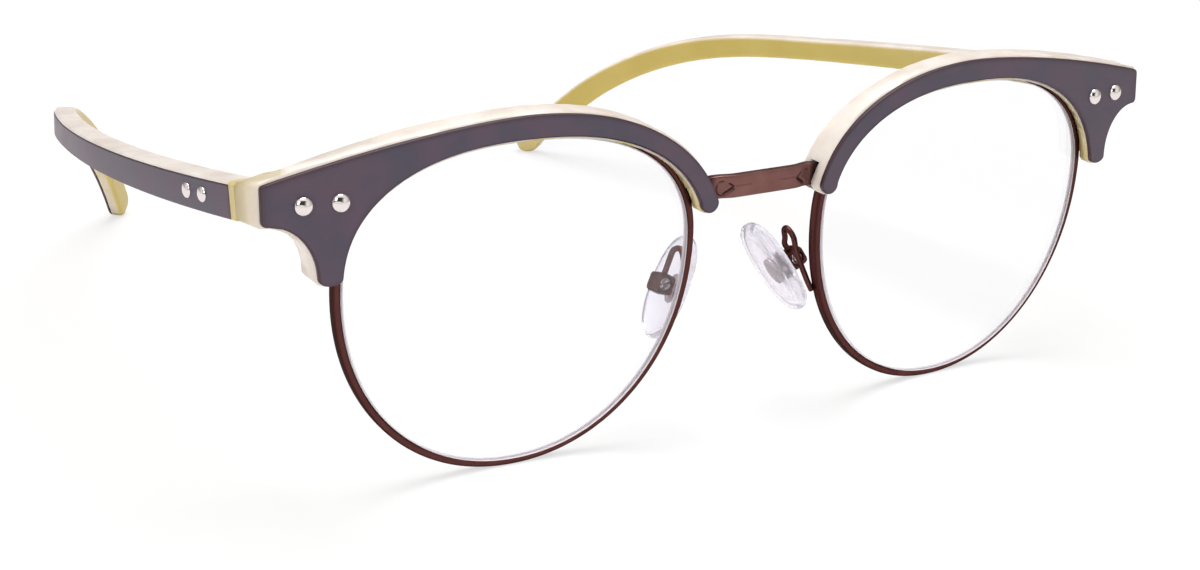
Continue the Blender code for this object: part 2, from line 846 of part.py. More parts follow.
def hinge_hole():
    reach = 2 * knuckle_pitch + cutter_overrun
    return rod_cutter((hinge_x, hinge_y, hinge_z), (0, 0, 1), -reach, reach, screw_shank + running_gap)


def brow_rivet_holes():
    """Clearance holes for both brow rivets, right through the stack."""
    holes = []
    for x in front_rivet_x:
        reach = 2 * leaf_back + cutter_overrun
        holes.append(rod_cutter(rivet_point(x, 0), face_normal(x), -reach, reach, rivet_shank + rivet_gap))
    return holes


def temple_rivet_holes():
    holes = []
    for place in temple_rivet_place:
        centre, out, _, _ = temple_path(np.array([place]))
        reach = hinge_end_thickness
        holes.append(rod_cutter(centre[0], out[0], -reach, reach, rivet_shank + rivet_gap))
    return holes


def sheet(outline, front, thickness):
    """An outline in X and Z, filled as a 2D curve and given its thickness backwards from its front."""
    curve = poly_curve([(x, z, 0) for x, z in outline], cyclic=True)
    curve.dimensions = "2D"
    curve.fill_mode = "BOTH"
    curve.extrude = thickness / 2
    mesh = curve_mesh(curve)
    mesh.transform(Matrix.Translation((0, front + thickness / 2, 0)) @ Matrix.Rotation(math.pi / 2, 4, "X"))
    return mesh


def build_lens_and_wire():
    add_object("lens_left", lens_mesh(), clear_lens(), stand)
    add_object("eyewire_left", eyewire_mesh(), gunmetal(), stand)


def build_brow():
    """Both laminate layers, with the rim lock's pocket, the bridge's slot and the fasteners' holes."""
    dark = add_object("brow_face_left", dark_brow_mesh(), dark_acetate(), stand)
    combine(dark, brow_rivet_holes(), "DIFFERENCE")
    cream = add_object("brow_back_left", cream_brow_mesh(), cream_acetate(), stand)
    pocket_top = upper_block_z + upper_block_height + seat_gap
    pocket_low = (edge_x(pocket_top, wire_outer), lock_front - seat_gap, 0)
    pocket = box_mesh(pocket_low, (lock_outer_x + seat_gap, seam_y + cutter_overrun, pocket_top))
    slot_top = bar_bottom + bar_height - bar_droop + seat_gap
    slot_low = (0, bar_end_front - seat_gap, bar_bottom - bar_droop - seat_gap)
    slot_high = (edge_x(slot_top, wire_outer, nasal=True), bar_end_front + bar_thickness + seat_gap, slot_top)
    bore = rod_cutter(
        (brow_screw_x, bar_end_front, bar_middle_z), (0, 1, 0), 0, seam_y, lock_screw_shank + rivet_gap
    )
    cutting = [rim_cutter(), add_cutter(pocket), add_cutter(box_mesh(slot_low, slot_high)), bore]
    combine(cream, cutting + brow_rivet_holes(), "DIFFERENCE")


def build_brow_fasteners():
    """Two domed rivets through both layers, lug and hinge leaf, and a screw behind the nose end."""
    for name, x in zip(("brow_rivet_inner_left", "brow_rivet_outer_left"), front_rivet_x):
        seat = rivet_point(x, face_y(x, front_rivet_z)) + face_normal(x) * running_gap
        stack = (rivet_point(x, leaf_back) - seat).length + rivet_tail
        mesh = rivet_mesh(stack, front_rivet_head, front_rivet_dome)
        fasten(name, mesh, seat, face_normal(x), stand)
    seat_back = cream_back(brow_screw_x - lock_screw_head, bar_middle_z + lock_screw_head) + running_gap
    length = seat_back - bar_end_front - seat_gap
    mesh = screw_mesh(length, lock_screw_shank, lock_screw_head)
    fasten("brow_screw_left", mesh, (brow_screw_x, seat_back, bar_middle_z), (0, 1, 0), stand)


def lock_block(name, low, height, depth):
    """A block brazed on the outer face of the wire, beside the split."""
    heights = np.linspace(low, low + height, 4)
    inner = [(edge_x(z, rim_seat), z) for z in heights]
    outline = inner + [(lock_outer_x, low + height), (lock_outer_x, low)]
    return add_object(name, sheet(outline, lock_front, depth), gunmetal(), stand)


def build_rim_lock():
    """Two blocks that a screw draws together to close the wire on the lens; the upper one has the lug."""
    upper = lock_block("rim_lock_upper_left", upper_block_z, upper_block_height, lug_back - lock_front)
    lower = lock_block("rim_lock_lower_left", lower_block_z, lower_block_height, lock_depth)
    lug_low, lug_high = hinge_z - lug_height / 2, hinge_z + lug_height / 2
    lug = box_mesh((lug_inner, lug_front, lug_low), (lug_outer, lug_back, lug_high))
    stem_low = (lock_outer_x - stem_width, lug_front, upper_block_z + upper_block_height / 2)
    stem = box_mesh(stem_low, (lock_outer_x, lug_back, lug_low + lug_thickness))
    combine(upper, [add_cutter(lug), add_cutter(stem)], "UNION")
    combine(upper, brow_rivet_holes(), "DIFFERENCE")
    screw_x, screw_y = lock_outer_x - lock_screw_inset, lock_front + lock_depth / 2
    length = upper_block_z + upper_block_height - lower_block_z
    for block in (upper, lower):
        radius = lock_screw_shank + running_gap
        bore = rod_cutter((screw_x, screw_y, lower_block_z), (0, 0, 1), -cutter_overrun, length, radius)
        combine(block, [bore], "DIFFERENCE")
    mesh = screw_mesh(length - seat_gap, lock_screw_shank, lock_screw_head)
    seat = (screw_x, screw_y, lower_block_z - running_gap)
    fasten("rim_lock_screw_left", mesh, seat, (0, 0, -1), stand)


def build_bridge():
    """A flat bar bowed forward, its ends cut along both wires and bored for the brow screws."""
    end_shares = np.linspace(0, 1, 5)
    heights = bar_bottom + bar_height * end_shares
    end = [(edge_x(z - bar_droop, rim_seat, nasal=True), z) for z in heights]
    outline = end + [(-x, z) for x, z in reversed(end)]
    side = np.concatenate([np.linspace(bar_flat_half, bar_sweep_end, 6), [bar_droop_start]])

    def place(x, y, z):
        share = min(max((abs(x) - bar_flat_half) / (bar_sweep_end - bar_flat_half), 0), 1)
        drop = min(max((abs(x) - bar_droop_start) / (bar_sweep_end - bar_droop_start), 0), 1)
        return x, y + bar_sweep * share * share * (3 - 2 * share), z - bar_droop * drop * drop

    mesh = bent(sheet(outline, -bar_front, bar_thickness), [*-side, *side], place)
    bar = add_object("bridge", mesh, gunmetal(), stand)
    reach = bar_front + cutter_overrun
    bores = [
        rod_cutter((x, bar_end_front, bar_middle_z), (0, 1, 0), -reach, reach, lock_screw_shank + running_gap)
        for x in (-brow_screw_x, brow_screw_x)
    ]
    combine(bar, bores, "DIFFERENCE")


def build_hinge():
    """A three-barrel hinge: two barrels on the front's leaf, one on the temple's, and a screw from above."""
    low_z, high_z = hinge_z - leaf_height / 2, hinge_z + leaf_height / 2
    web_low, web_high = hinge_x - web_thickness / 2, hinge_x + web_thickness / 2
    plate = box_mesh((lug_inner, leaf_front, low_z), (web_high, leaf_back, high_z))
    leaf = add_object("front_hinge_leaf_left", plate, polished_steel(), stand)
    for level in (-1, 1):
        web = knuckle_web(web_low, (leaf_front + leaf_back) / 2, web_high, hinge_y, level)
        combine(leaf, [web, knuckle(level)], "UNION")
    combine(leaf, [hinge_hole()] + brow_rivet_holes(), "DIFFERENCE")

    places = np.array([temple_leaf_start, temple_leaf_end])
    centre, out, up, _ = temple_path(places)
    face = centre - out * (temple_thickness(places) / 2 + seat_gap)[:, None]
    corners = ((0, -1), (0, 1), (1, 1), (1, -1))
    rings = []
    for at, outward, upward in zip(face, out, up):
        deep, rise = outward * leaf_thickness, upward * temple_leaf_height / 2
        rings.append([at - deep * inward + rise * side for inward, side in corners])
    leaf = add_object("temple_hinge_leaf_left", loft_mesh(rings), polished_steel(), stand)
    web_back = rings[0][2][1] + web_thickness
    web = knuckle_web(web_low, hinge_y, hinge_x + knuckle_radius, web_back, 0)
    combine(leaf, [web, knuckle(0)], "UNION")
    combine(leaf, [hinge_hole()] + temple_rivet_holes(), "DIFFERENCE")
    carried(leaf, hinge_joint)

    top = hinge_z + knuckle_pitch + knuckle_height / 2 + running_gap
    mesh = screw_mesh(2 * knuckle_pitch + knuckle_height)
    fasten("hinge_screw_left", mesh, (hinge_x, hinge_y, top), (0, 0, 1), stand)


def build_temple():
    """Both laminate layers of the temple, and the two rivets that hold its hinge leaf."""
    for name, mesh, finish in (
        ("temple_face_left", dark_temple_mesh(), dark_acetate()),
        ("temple_back_left", cream_temple_mesh(), cream_acetate()),
    ):
        layer = add_object(name, mesh, finish, stand)
        combine(layer, temple_rivet_holes(), "DIFFERENCE")
        carried(layer, hinge_joint)
    for name, place in zip(("temple_rivet_front_left", "temple_rivet_rear_left"), temple_rivet_place):
        centre, out, _, _ = temple_path(np.array([place]))
        thickness = float(temple_thickness(place))
        seat = centre[0] + out[0] * (thickness / 2 + running_gap)
        stack = thickness + running_gap + seat_gap + leaf_thickness + rivet_tail
        fasten(name, rivet_mesh(stack), seat, out[0], hinge_joint)


def pad_frame():
    """The pad's frame: X along its screw to the front, Y up its long axis and Z towards the nose."""
    nose = Vector((-math.cos(pad_tilt) * math.cos(pad_splay), math.sin(pad_splay), 0))
    nose.z = -math.sin(pad_tilt) * math.cos(pad_splay)
    up = Vector((-math.sin(pad_tilt) * math.cos(pad_lean), math.sin(pad_lean), 0))
    up.z = math.cos(pad_tilt) * math.cos(pad_lean)
    up = (up - nose * up.dot(nose)).normalized()
    front = up.cross(nose)
    turn = Matrix((front, up, nose)).transposed().to_4x4()
    return Matrix.Translation(pad_pivot) @ turn


def pad_mesh():
    """A soft oval pad with rounded edges and a low crown towards the nose."""
    angles = np.linspace(0, 2 * math.pi, pad_points, endpoint=False)
    power = 2 / pad_exponent
    across = np.sign(np.cos(angles)) * np.abs(np.cos(angles)) ** power
    along = np.sign(np.sin(angles)) * np.abs(np.sin(angles)) ** power
    crown_foot = pad_thickness - pad_crown
    levels = [(pad_edge, 0), (0, pad_edge), (0, crown_foot - pad_edge), (pad_edge, crown_foot)]
    rings = []
    for inset, height in levels + [(pad_half_width / 2, pad_thickness)]:
        x = (pad_half_width - inset) * across - pad_behind
        y = (pad_half_length - inset) * along + pad_rise
        rings.append(np.column_stack([x, y, np.full(pad_points, pad_reach + height)]))
    return loft_mesh(rings)


def insert_disc(half_width, half_length, low, high):
    """An oval disc in the pad's frame, between the screw's axis and the pad's middle."""
    place = Matrix.Translation((-pad_behind * insert_share, pad_rise * insert_share, (low + high) / 2))
    scale = Matrix.Diagonal((half_width, half_length, 1, 1))
    turn, depth = place @ scale, high - low
    return mesh_of(
        lambda shape: bmesh.ops.create_cone(
            shape, cap_ends=True, segments=turn_steps, radius1=1, radius2=1, depth=depth, matrix=turn
        )
    )


def build_pad():
    """A pad on its metal insert, whose eye turns on a screw in a box at the end of the arm."""
    frame = pad_frame()
    plate_low = pad_reach + insert_depth
    plate_high = plate_low + insert_thickness
    pad = add_object("nose_pad_left", pad_mesh(), clear_silicone(), None)
    pocket_width, pocket_length = insert_half_width + glue_gap, insert_half_length + glue_gap
    pocket = insert_disc(pocket_width, pocket_length, pad_reach - cutter_overrun, plate_high + glue_gap)
    combine(pad, [add_cutter(pocket, None)], "DIFFERENCE")
    plate = insert_disc(insert_half_width, insert_half_length, plate_low, plate_high)
    insert = add_object("pad_insert_left", plate, polished_steel(), None)
    half_eye = eye_thickness / 2
    post_low, post_high = (screw_shank + eye_radius) / 2, plate_low + insert_thickness / 2
    post = rod_mesh((0, 0, post_low), (0, 0, post_high), post_radius, turn_steps)
    eye = rod_mesh((-half_eye, 0, 0), (half_eye, 0, 0), eye_radius, turn_steps)
    combine(insert, [add_cutter(post, None), add_cutter(eye, None)], "UNION")
    bore = rod_mesh((-box_length, 0, 0), (box_length, 0, 0), pad_screw_shank + running_gap, turn_steps)
    combine(insert, [add_cutter(bore, None)], "DIFFERENCE")
    for made in (pad, insert):
        made.parent = pad_joint

    shape = bmesh.new()
    bmesh.ops.create_cube(shape, size=1, matrix=Matrix.Diagonal((box_length, box_side, box_side, 1)))
    long_edges = [edge for edge in shape.edges if edge.verts[0].co.x * edge.verts[1].co.x < 0]
    bmesh.ops.bevel(shape, geom=long_edges, offset=box_corner, segments=2, profile=0.5, affect="EDGES")
    mesh = bpy.data.meshes.new("box")
    shape.to_mesh(mesh)
    shape.free()
    box = add_object("pad_box_left", mesh, gunmetal(), None)
    slot_half = half_eye + running_gap
    slot = box_mesh((-slot_half, -box_slot / 2, -eye_radius - seat_gap), (slot_half, box_slot / 2, box_side))
    recess = rod_mesh((box_length / 2 - recess_depth, 0, 0), (box_length, 0, 0), recess_radius, turn_steps)
    bore = rod_mesh((-box_length, 0, 0), (box_length, 0, 0), pad_screw_shank + running_gap, turn_steps)
    combine(box, [add_cutter(cut, None) for cut in (slot, recess, bore)], "DIFFERENCE")
    box.parent = stand
    box.matrix_local = frame

    front = frame.to_3x3() @ Vector((1, 0, 0))
    mesh = screw_mesh(box_length - recess_depth, pad_screw_shank, pad_screw_head)
    fasten("pad_screw_left", mesh, Vector(pad_pivot) + front * pad_screw_seat, front, stand)


def build_pad_arm():
    """A round wire from the eyewire's nasal side, over a loop and down to the pad's box."""
    root = []
    grow = rim_seat + arm_radius
    for height, back in ((arm_root_z, arm_root_back), (arm_leave_z, arm_leave_back)):
        out, up = lens_curve(angle_at_height(height, grow, nasal=True), grow)
        root.append(in_lens_plane(out, back, up))
    frame = pad_frame()
    box_top = frame @ Vector((0, box_side / 2 + seat_gap, 0))
    above_box = frame @ Vector((0, box_side / 2 + 2 * arm_radius + seat_gap, 0))
    legs = np.array([arm_front_leg, arm_loop_top, arm_rear_leg]) + pad_pivot
    points = np.array([*root, *legs, above_box, box_top])
    line = smooth_line(points, arm_steps)
    curve = poly_curve(line)
    curve.bevel_depth = arm_radius
    curve.bevel_resolution = 2
    curve.use_fill_caps = True
    add_object("pad_arm_left", curve_mesh(curve), gunmetal(), stand)


def smooth_line(points, steps):
    """Points along a curve that passes through each given one, with even spacing in between."""
    ends = np.vstack([2 * points[0] - points[1], points, 2 * points[-1] - points[-2]])
    line = []
    for before, start, end, after in zip(ends, ends[1:], ends[2:], ends[3:]):
        share = np.linspace(0, 1, steps, endpoint=False)[:, None]
        pull_in, pull_out = (end - before) / 2, (after - start) / 2
        squared, cubed = share**2, share**3
        curve = start * (2 * cubed - 3 * squared + 1) + end * (3 * squared - 2 * cubed)
        line.append(curve + pull_in * (cubed - 2 * squared + share) + pull_out * (cubed - squared))
    return np.vstack([*line, points[-1:]])


def points_in_front_frame(names):
    """The named parts' points in the front frame."""
    points = []
    for name in names:
        made = bpy.data.objects[name]
        place = stand.matrix_world.inverted() @ made.matrix_world
        points += [place @ vert.co for vert in made.data.vertices]
    return points


def stand_up():
    """Turns the glasses about X until wires and temple tips touch one level, and centres them."""
    bpy.context.view_layer.update()
    front = points_in_front_frame(["eyewire_left"])
    rear = points_in_front_frame(["temple_back_left", "temple_face_left"])
    tilt = 0
    for _ in range(8):
        turn = Matrix.Rotation(tilt, 3, "X")
        low_front, low_rear = (min((turn @ p for p in points), key=lambda p: p.z) for points in (front, rear))
        tilt += math.atan2(low_front.z - low_rear.z, low_rear.y - low_front.y)
    turn = Matrix.Rotation(tilt, 3, "X")
    names = [made.name for made in parts.objects if made.type == "MESH"]
    every = [turn @ p for p in points_in_front_frame(names)]
    back, height = [p.y for p in every], [p.z for p in every]
    stand.rotation_euler.x = tilt
    stand.location = (0, -(min(back) + max(back)) / 2, -min(height))
    bpy.context.view_layer.update()


for made in list(bpy.data.objects):
    bpy.data.objects.remove(made, do_unlink=True)
parts = bpy.data.collections.new("reading_glasses")
cutters = bpy.data.collections.new("cutters")
for group in (parts, cutters):
    bpy.context.scene.collection.children.link(group)
cutters.hide_render = True

stand = bpy.data.objects.new("stand", None)
parts.objects.link(stand)
flip = Matrix.Diagonal((-1, 1, 1, 1))
hinge_frame = Matrix.Translation((hinge_x, hinge_y, hinge_z))
hinge_joint = joint_empty("temple_joint_left", hinge_frame)
pad_joint = joint_empty("nose_pad_joint_left", pad_frame())
joint_empty("temple_joint_right", flip @ hinge_frame @ flip)
joint_empty("nose_pad_joint_right", flip @ pad_frame() @ flip)

build_lens_and_wire()
build_brow()
build_brow_fasteners()
build_rim_lock()
build_hinge()
build_temple()
build_pad()
build_pad_arm()
bpy.context.view_layer.update()
for made in [made for made in parts.objects if made.type == "MESH"]:
    mirror(made)
build_bridge()
stand_up()
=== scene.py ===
import json
import math

import bmesh
import bpy
import numpy as np
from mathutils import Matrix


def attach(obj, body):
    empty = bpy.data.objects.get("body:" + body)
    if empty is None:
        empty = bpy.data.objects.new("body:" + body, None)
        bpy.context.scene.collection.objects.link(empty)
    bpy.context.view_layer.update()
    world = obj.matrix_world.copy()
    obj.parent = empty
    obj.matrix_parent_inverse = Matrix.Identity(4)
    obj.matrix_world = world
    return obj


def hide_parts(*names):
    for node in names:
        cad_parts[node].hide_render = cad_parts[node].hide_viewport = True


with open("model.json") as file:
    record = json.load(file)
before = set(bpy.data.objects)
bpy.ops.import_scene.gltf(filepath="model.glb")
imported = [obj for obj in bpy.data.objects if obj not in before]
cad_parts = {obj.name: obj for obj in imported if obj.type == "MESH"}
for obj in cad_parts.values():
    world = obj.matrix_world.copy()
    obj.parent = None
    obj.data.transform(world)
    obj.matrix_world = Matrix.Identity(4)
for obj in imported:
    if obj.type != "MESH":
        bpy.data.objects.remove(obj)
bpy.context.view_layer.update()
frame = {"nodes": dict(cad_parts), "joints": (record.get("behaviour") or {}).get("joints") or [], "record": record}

# How the glasses stand. They are laid out upright, with the lens plane at Y = 0 and the origin midway
# between the lenses, and then tipped back until the rim bottoms and the ear ends touch the table.
# The left temple's hinge, whose upright place is known, gives the tip and the shift.
hinge_upright = np.array([0.0656, 0.0063, 0.0169])
hinge = next(joint for joint in frame["joints"] if joint["name"] == "temple_fold_left")
tipped = math.atan2(-hinge["axis"][1], hinge["axis"][2])
tip_turn = np.array(
    [[1, 0, 0], [0, math.cos(tipped), -math.sin(tipped)], [0, math.sin(tipped), math.cos(tipped)]]
)
stand_place = np.array(hinge["pos_m"]) - tip_turn @ hinge_upright


def stood(points):
    """Upright points turned about X by the tip angle and shifted onto the table."""
    return np.asarray(points, float) @ tip_turn.T + stand_place


# Camera. It looks down from the wearer's right front, with the slight roll of a hand-held picture. Its
# place, its turn and its focal length are those at which the outlines of the glasses fit the photo's.
def new_object(name, data):
    """A new object, linked into the scene."""
    made = bpy.data.objects.new(name, data)
    bpy.context.scene.collection.objects.link(made)
    return made


def place_object(made, axes, place):
    """Turns an object to three axes, its right, up and back, and puts it at a place."""
    matrix = np.eye(4)
    matrix[:3, :3] = np.column_stack(axes)
    matrix[:3, 3] = place
    made.matrix_world = matrix.T.tolist()


camera = new_object("camera", bpy.data.cameras.new("camera"))
camera_place = stood([-0.171287, -0.224091, 0.104129])
camera_right = tip_turn @ np.array([0.84375, -0.53368, 0.05714])
camera_up = tip_turn @ np.array([0.14656, 0.33150, 0.93200])
camera_back = np.cross(camera_right, camera_up)
place_object(camera, (camera_right, camera_up, camera_back), camera_place)
image_width, image_height, axis_x, axis_y, focal_pixels = 1200, 570, 603.35, 284.94, 2243.5
camera.data.sensor_width = 36
camera.data.lens = focal_pixels * camera.data.sensor_width / image_width
camera.data.shift_x = (image_width / 2 - axis_x) / image_width
camera.data.shift_y = (axis_y - image_height / 2) / image_width
camera.data.clip_start = 0.01
camera.data.clip_end = 10
bpy.context.scene.camera = camera
bpy.context.scene.view_settings.view_transform = "Standard"


# Floor and backdrop. One wide sheet of matt white paper. What the camera sees of it is partly lit by
# itself, so that it shows white and still keeps the glasses' soft shadow.
def linear(hex_colour):
    """sRGB hex to linear red, green, blue and full alpha: the standard curve, share by share."""
    shares = np.array([int(hex_colour[i : i + 2], 16) for i in (0, 2, 4)]) / 255
    bent = np.where(shares > 0.04045, ((shares + 0.055) / 1.055) ** 2.4, shares / 12.92)
    return [*bent.tolist(), 1.0]


def link(added, links):
    """Links outputs to a node's inputs; a whole node stands for its first output."""
    for name, source in dict(links).items():
        first = source.outputs[0] if isinstance(source, bpy.types.Node) else source
        added.id_data.links.new(first, added.inputs[name])


def node(tree, kind, settings=(), links=()):
    """Adds a shader node of a kind, sets its inputs or properties by name, and links its inputs."""
    added = tree.nodes.new("ShaderNode" + kind)
    for name, value in dict(settings).items():
        if isinstance(name, int) or name in added.inputs:
            added.inputs[name].default_value = value
        else:
            setattr(added, name, value)
    link(added, links)
    return added


floor_reach, self_lit = 3.0, 0.62
floor_mesh = bpy.data.meshes.new("floor")
floor_corners = [(x * floor_reach, y * floor_reach, 0) for x, y in ((-1, -1), (1, -1), (1, 1), (-1, 1))]
floor_mesh.from_pydata(floor_corners, [], [(0, 1, 2, 3)])
floor = new_object("floor", floor_mesh)
paper = bpy.data.materials.new("white_paper")
paper.use_nodes = True
tree = paper.node_tree
tree.nodes.clear()
path = node(tree, "LightPath")
rays = {0: path.outputs["Is Glossy Ray"], 1: path.outputs["Is Transmission Ray"]}
mirrored = node(tree, "Math", {"operation": "SUBTRACT", "use_clamp": True}, rays)
papers = {"data_type": "RGBA", 6: linear("ECECEC"), 7: linear("E9E3E4")}
shade = node(tree, "Mix", papers, {0: mirrored})
lit = node(tree, "BsdfDiffuse", (), {"Color": shade.outputs[2]})
glow = node(tree, "Emission", {"Color": linear("FFFFFF"), "Strength": 1.0})
rays = {0: path.outputs["Is Camera Ray"], 1: path.outputs["Is Transmission Ray"]}
seen = node(tree, "Math", {"operation": "MAXIMUM"}, rays)
share = node(tree, "Math", {"operation": "MULTIPLY", 1: self_lit}, {0: seen})
mixed = node(tree, "MixShader", (), {0: share, 1: lit, 2: glow})
node(tree, "OutputMaterial", (), {"Surface": mixed})
floor_mesh.materials.append(paper)

# Studio light. A broad soft lamp overhead, a smaller one from the front left, and an even white room.
# Polished pieces see the room as it is: bright behind the camera, dark beyond the glasses, and the dark
# shape of the camera and whoever holds it, just above where it looks from.
def unit(vectors):
    """A vector, or each row of an array of them, divided by its length."""
    vectors = np.asarray(vectors, float)
    return vectors / np.linalg.norm(vectors, axis=-1, keepdims=True)


room_strength, far_strength, near_strength, dark_strength = 0.52, 0.25, 1.05, 0.05
far_lean, near_lean, shape_inner, shape_outer = -0.6, 0.5, 0.85, 1.15
shape_half_width, shape_half_height = 0.75, 0.32
shape_middle = tip_turn @ np.array([-0.49, -0.68, 0.55])
shape_side = unit(np.cross([0, 0, 1], shape_middle))
shape_up = np.cross(shape_middle, shape_side)
world = bpy.data.worlds.new("studio")
bpy.context.scene.world = world
world.use_nodes = True
tree = world.node_tree
tree.nodes.clear()
path = node(tree, "LightPath")
white = node(tree, "Background", {"Color": linear("FFFFFF"), "Strength": 1.0})
room = node(tree, "Background", {"Color": linear("FFFDFB"), "Strength": room_strength})
view = node(tree, "TexCoord").outputs["Generated"]
# how far a seen direction leans back towards the camera, and beside and above the dark shape's middle
leans = []
for axis in (camera_back, shape_side / shape_half_width, shape_up / shape_half_height):
    settings = {"operation": "DOT_PRODUCT", 1: tuple(axis)}
    leans.append(node(tree, "VectorMath", settings, {0: view}).outputs["Value"])
ramp = {1: far_lean, 2: near_lean, 3: far_strength, 4: near_strength}
bright = node(tree, "MapRange", ramp, {0: leans[0]})
beside, above = [node(tree, "Math", {"operation": "ABSOLUTE"}, {0: lean}) for lean in leans[1:]]
outside = node(tree, "Math", {"operation": "MAXIMUM"}, {0: beside, 1: above})
ramp = {1: shape_inner, 2: shape_outer, 3: dark_strength, 4: 1.0}
shape = node(tree, "MapRange", ramp, {0: outside})
strength = node(tree, "Math", {"operation": "MULTIPLY"}, {0: bright, 1: shape})
mirrored = node(tree, "Background", {"Color": linear("FFFBF7")}, {"Strength": strength})
inside = node(tree, "MixShader", (), {0: path.outputs["Is Glossy Ray"], 1: room, 2: mirrored})
rays = {0: path.outputs["Is Camera Ray"], 1: path.outputs["Is Transmission Ray"]}
seen = node(tree, "Math", {"operation": "MAXIMUM"}, rays)
mixed = node(tree, "MixShader", (), {0: seen, 1: inside, 2: white})
node(tree, "OutputWorld", (), {"Surface": mixed})
# each lamp's place, the point that it faces, the side of its square and its power
lamps = {
    "overhead": ((0.14, 0.12, 1.2), (0, 0, 0.02), 0.8, 12.0),
    "front_left": ((-0.55, -0.45, 0.45), (0, -0.04, 0.02), 0.35, 1.5),
}
for name, (spot, aim, size, watts) in lamps.items():
    lamp = new_object(name, bpy.data.lights.new(name, "AREA"))
    lamp.data.size = size
    lamp.data.energy = watts
    back = unit(np.array(spot) - np.array(aim))
    side = unit(np.cross([0, 1, 0] if abs(back[2]) > 0.9 else [0, 0, 1], back))
    place_object(lamp, (side, np.cross(back, side), back), spot)

# Eyewires. Each is a drawn nickel-silver wire, rolled with a groove for the lens, bent round it and
# plated dark brown; its two ends meet at the rim lock behind the end piece.
lens_width, lens_top, lens_foot, bridge_gap = 0.0496, 0.0228, 0.0212, 0.0208
widest_rise, top_exponent, low_exponent = 0.0058, 2.32, 2.08
wrap_angle, rim_back = math.radians(3.0), 0.0004
lens_centre_x = (lens_width + bridge_gap) / 2
lens_gap, groove_depth, groove_half = 0.00012, 0.0007, 0.0005
wire_radial, wire_depth, wire_squareness = 0.00105, 0.0015, 4.5
split_height, split_gap, lens_flat = 0.0110, 0.00004, -0.9
wire_inner = lens_gap - groove_depth
wire_outer = wire_inner + wire_radial


def superellipse(angles, exponent):
    """A unit outline between a circle and a square: cos^p and sin^p, p = 2 / exponent, signs kept."""
    cosine, sine = np.cos(angles), np.sin(angles)
    power = 2 / exponent
    return np.sign(cosine) * np.abs(cosine) ** power, np.sign(sine) * np.abs(sine) ** power


def lens_line(angles, grow):
    """Outline of the lens, grown outwards: a half superellipse above its widest line, a rounder one below."""
    above = np.sin(angles) >= 0
    out, up = superellipse(angles, np.where(above, top_exponent, low_exponent))
    rise = np.where(above, lens_top - widest_rise, lens_foot + widest_rise) + grow
    return (lens_width / 2 + grow) * out, widest_rise + rise * up


def line_angle(height, grow, nasal=False):
    """The angle at which the grown outline passes a height: the outline's formula turned round."""
    above = height >= widest_rise
    rise = (lens_top - widest_rise if above else lens_foot + widest_rise) + grow
    exponent = top_exponent if above else low_exponent
    angle = math.asin((abs(height - widest_rise) / rise) ** (exponent / 2))
    angle = math.copysign(angle, height - widest_rise)
    return math.pi - angle if nasal else angle


def in_lens_plane(out, back, up):
    """Points of the left lens's own plane, turned about Z by the wrap angle, in the upright frame."""
    out, back, up = np.broadcast_arrays(out, back, up)
    x = lens_centre_x + out * math.cos(wrap_angle) - back * math.sin(wrap_angle)
    y = out * math.sin(wrap_angle) + back * math.cos(wrap_angle) + rim_back
    return np.stack([x, y, up], axis=-1)


def add_piece(name, mesh, body, replaced, finish, sharp=35):
    """One piece from its mesh: shaded smooth up to an angle, given its finish, and hung on its body."""
    mesh.shade_smooth()
    mesh.set_sharp_from_angle(angle=math.radians(sharp))
    mesh.materials.clear()
    mesh.materials.append(finish)
    piece = new_object(name, mesh)
    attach(piece, body)
    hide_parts(replaced)
    return piece


def outward_mesh(name, points, faces, marks):
    """A mesh of points and faces, turned outwards, with its marks as point attributes.

    The signed volume, a sum of corner triple products, tells whether the faces point outwards."""
    mesh = bpy.data.meshes.new(name)
    triangles = np.array([face[:3] for face in faces] + [(f[0], f[2], f[3]) for f in faces if len(f) == 4])
    corners = points[triangles]
    volume = np.einsum("ij,ij->i", corners[:, 0], np.cross(corners[:, 1], corners[:, 2])).sum()
    if volume < 0:
        faces = [face[::-1] for face in faces]
    mesh.from_pydata(points.tolist(), [], faces)
    for mark, values in dict(marks).items():
        mesh.attributes.new(mark, "FLOAT", "POINT").data.foreach_set("value", values.astype(np.float32))
    return mesh


def add_sides(name, points, faces, body, replaced, finish, slot, marks=(), sharp=35):
    """A left piece from upright points, and its mirror image; names and bodies follow the side."""
    pieces = []
    for side, flip in (("left", 1), ("right", -1)):
        mesh = outward_mesh(f"{name}_{side}", stood(points * [flip, 1, 1]), faces, marks)
        turned, node_name = body.replace("left", side), replaced.replace("left", side)
        pieces.append(add_piece(f"{name}_{side}", mesh, turned, node_name, finish, sharp))
    return pieces


def ring_faces(rings, around):
    """Quads between rings laid one after the other, and a fan from a middle point at each end."""
    index = np.arange(rings * around).reshape(rings, around)
    ahead = np.roll(index, -1, axis=1)
    faces = np.stack([index[:-1], ahead[:-1], ahead[1:], index[1:]], axis=-1).reshape(-1, 4).tolist()
    first, last = rings * around, rings * around + 1
    faces += [[first, b, a] for a, b in zip(index[0].tolist(), ahead[0].tolist())]
    faces += [[last, a, b] for a, b in zip(index[-1].tolist(), ahead[-1].tolist())]
    return faces


def capped(grid):
    """A grid's rows laid one after the other, then the mean of its first row and of its last."""
    grid = np.asarray(grid, float)
    return np.concatenate([grid.reshape(-1, *grid.shape[2:]), [grid[0].mean(axis=0), grid[-1].mean(axis=0)]])


def add_pair(name, rings, body, replaced, finish, slot, marks=(), sharp=35):
    """Skins closed rings into a left piece and its mirror image; a mark has a value for each ring point."""
    faces = ring_faces(*np.shape(rings)[:2])
    marks = {mark: capped(grid) for mark, grid in dict(marks).items()}
    return add_sides(name, capped(rings), faces, body, replaced, finish, slot, marks, sharp)


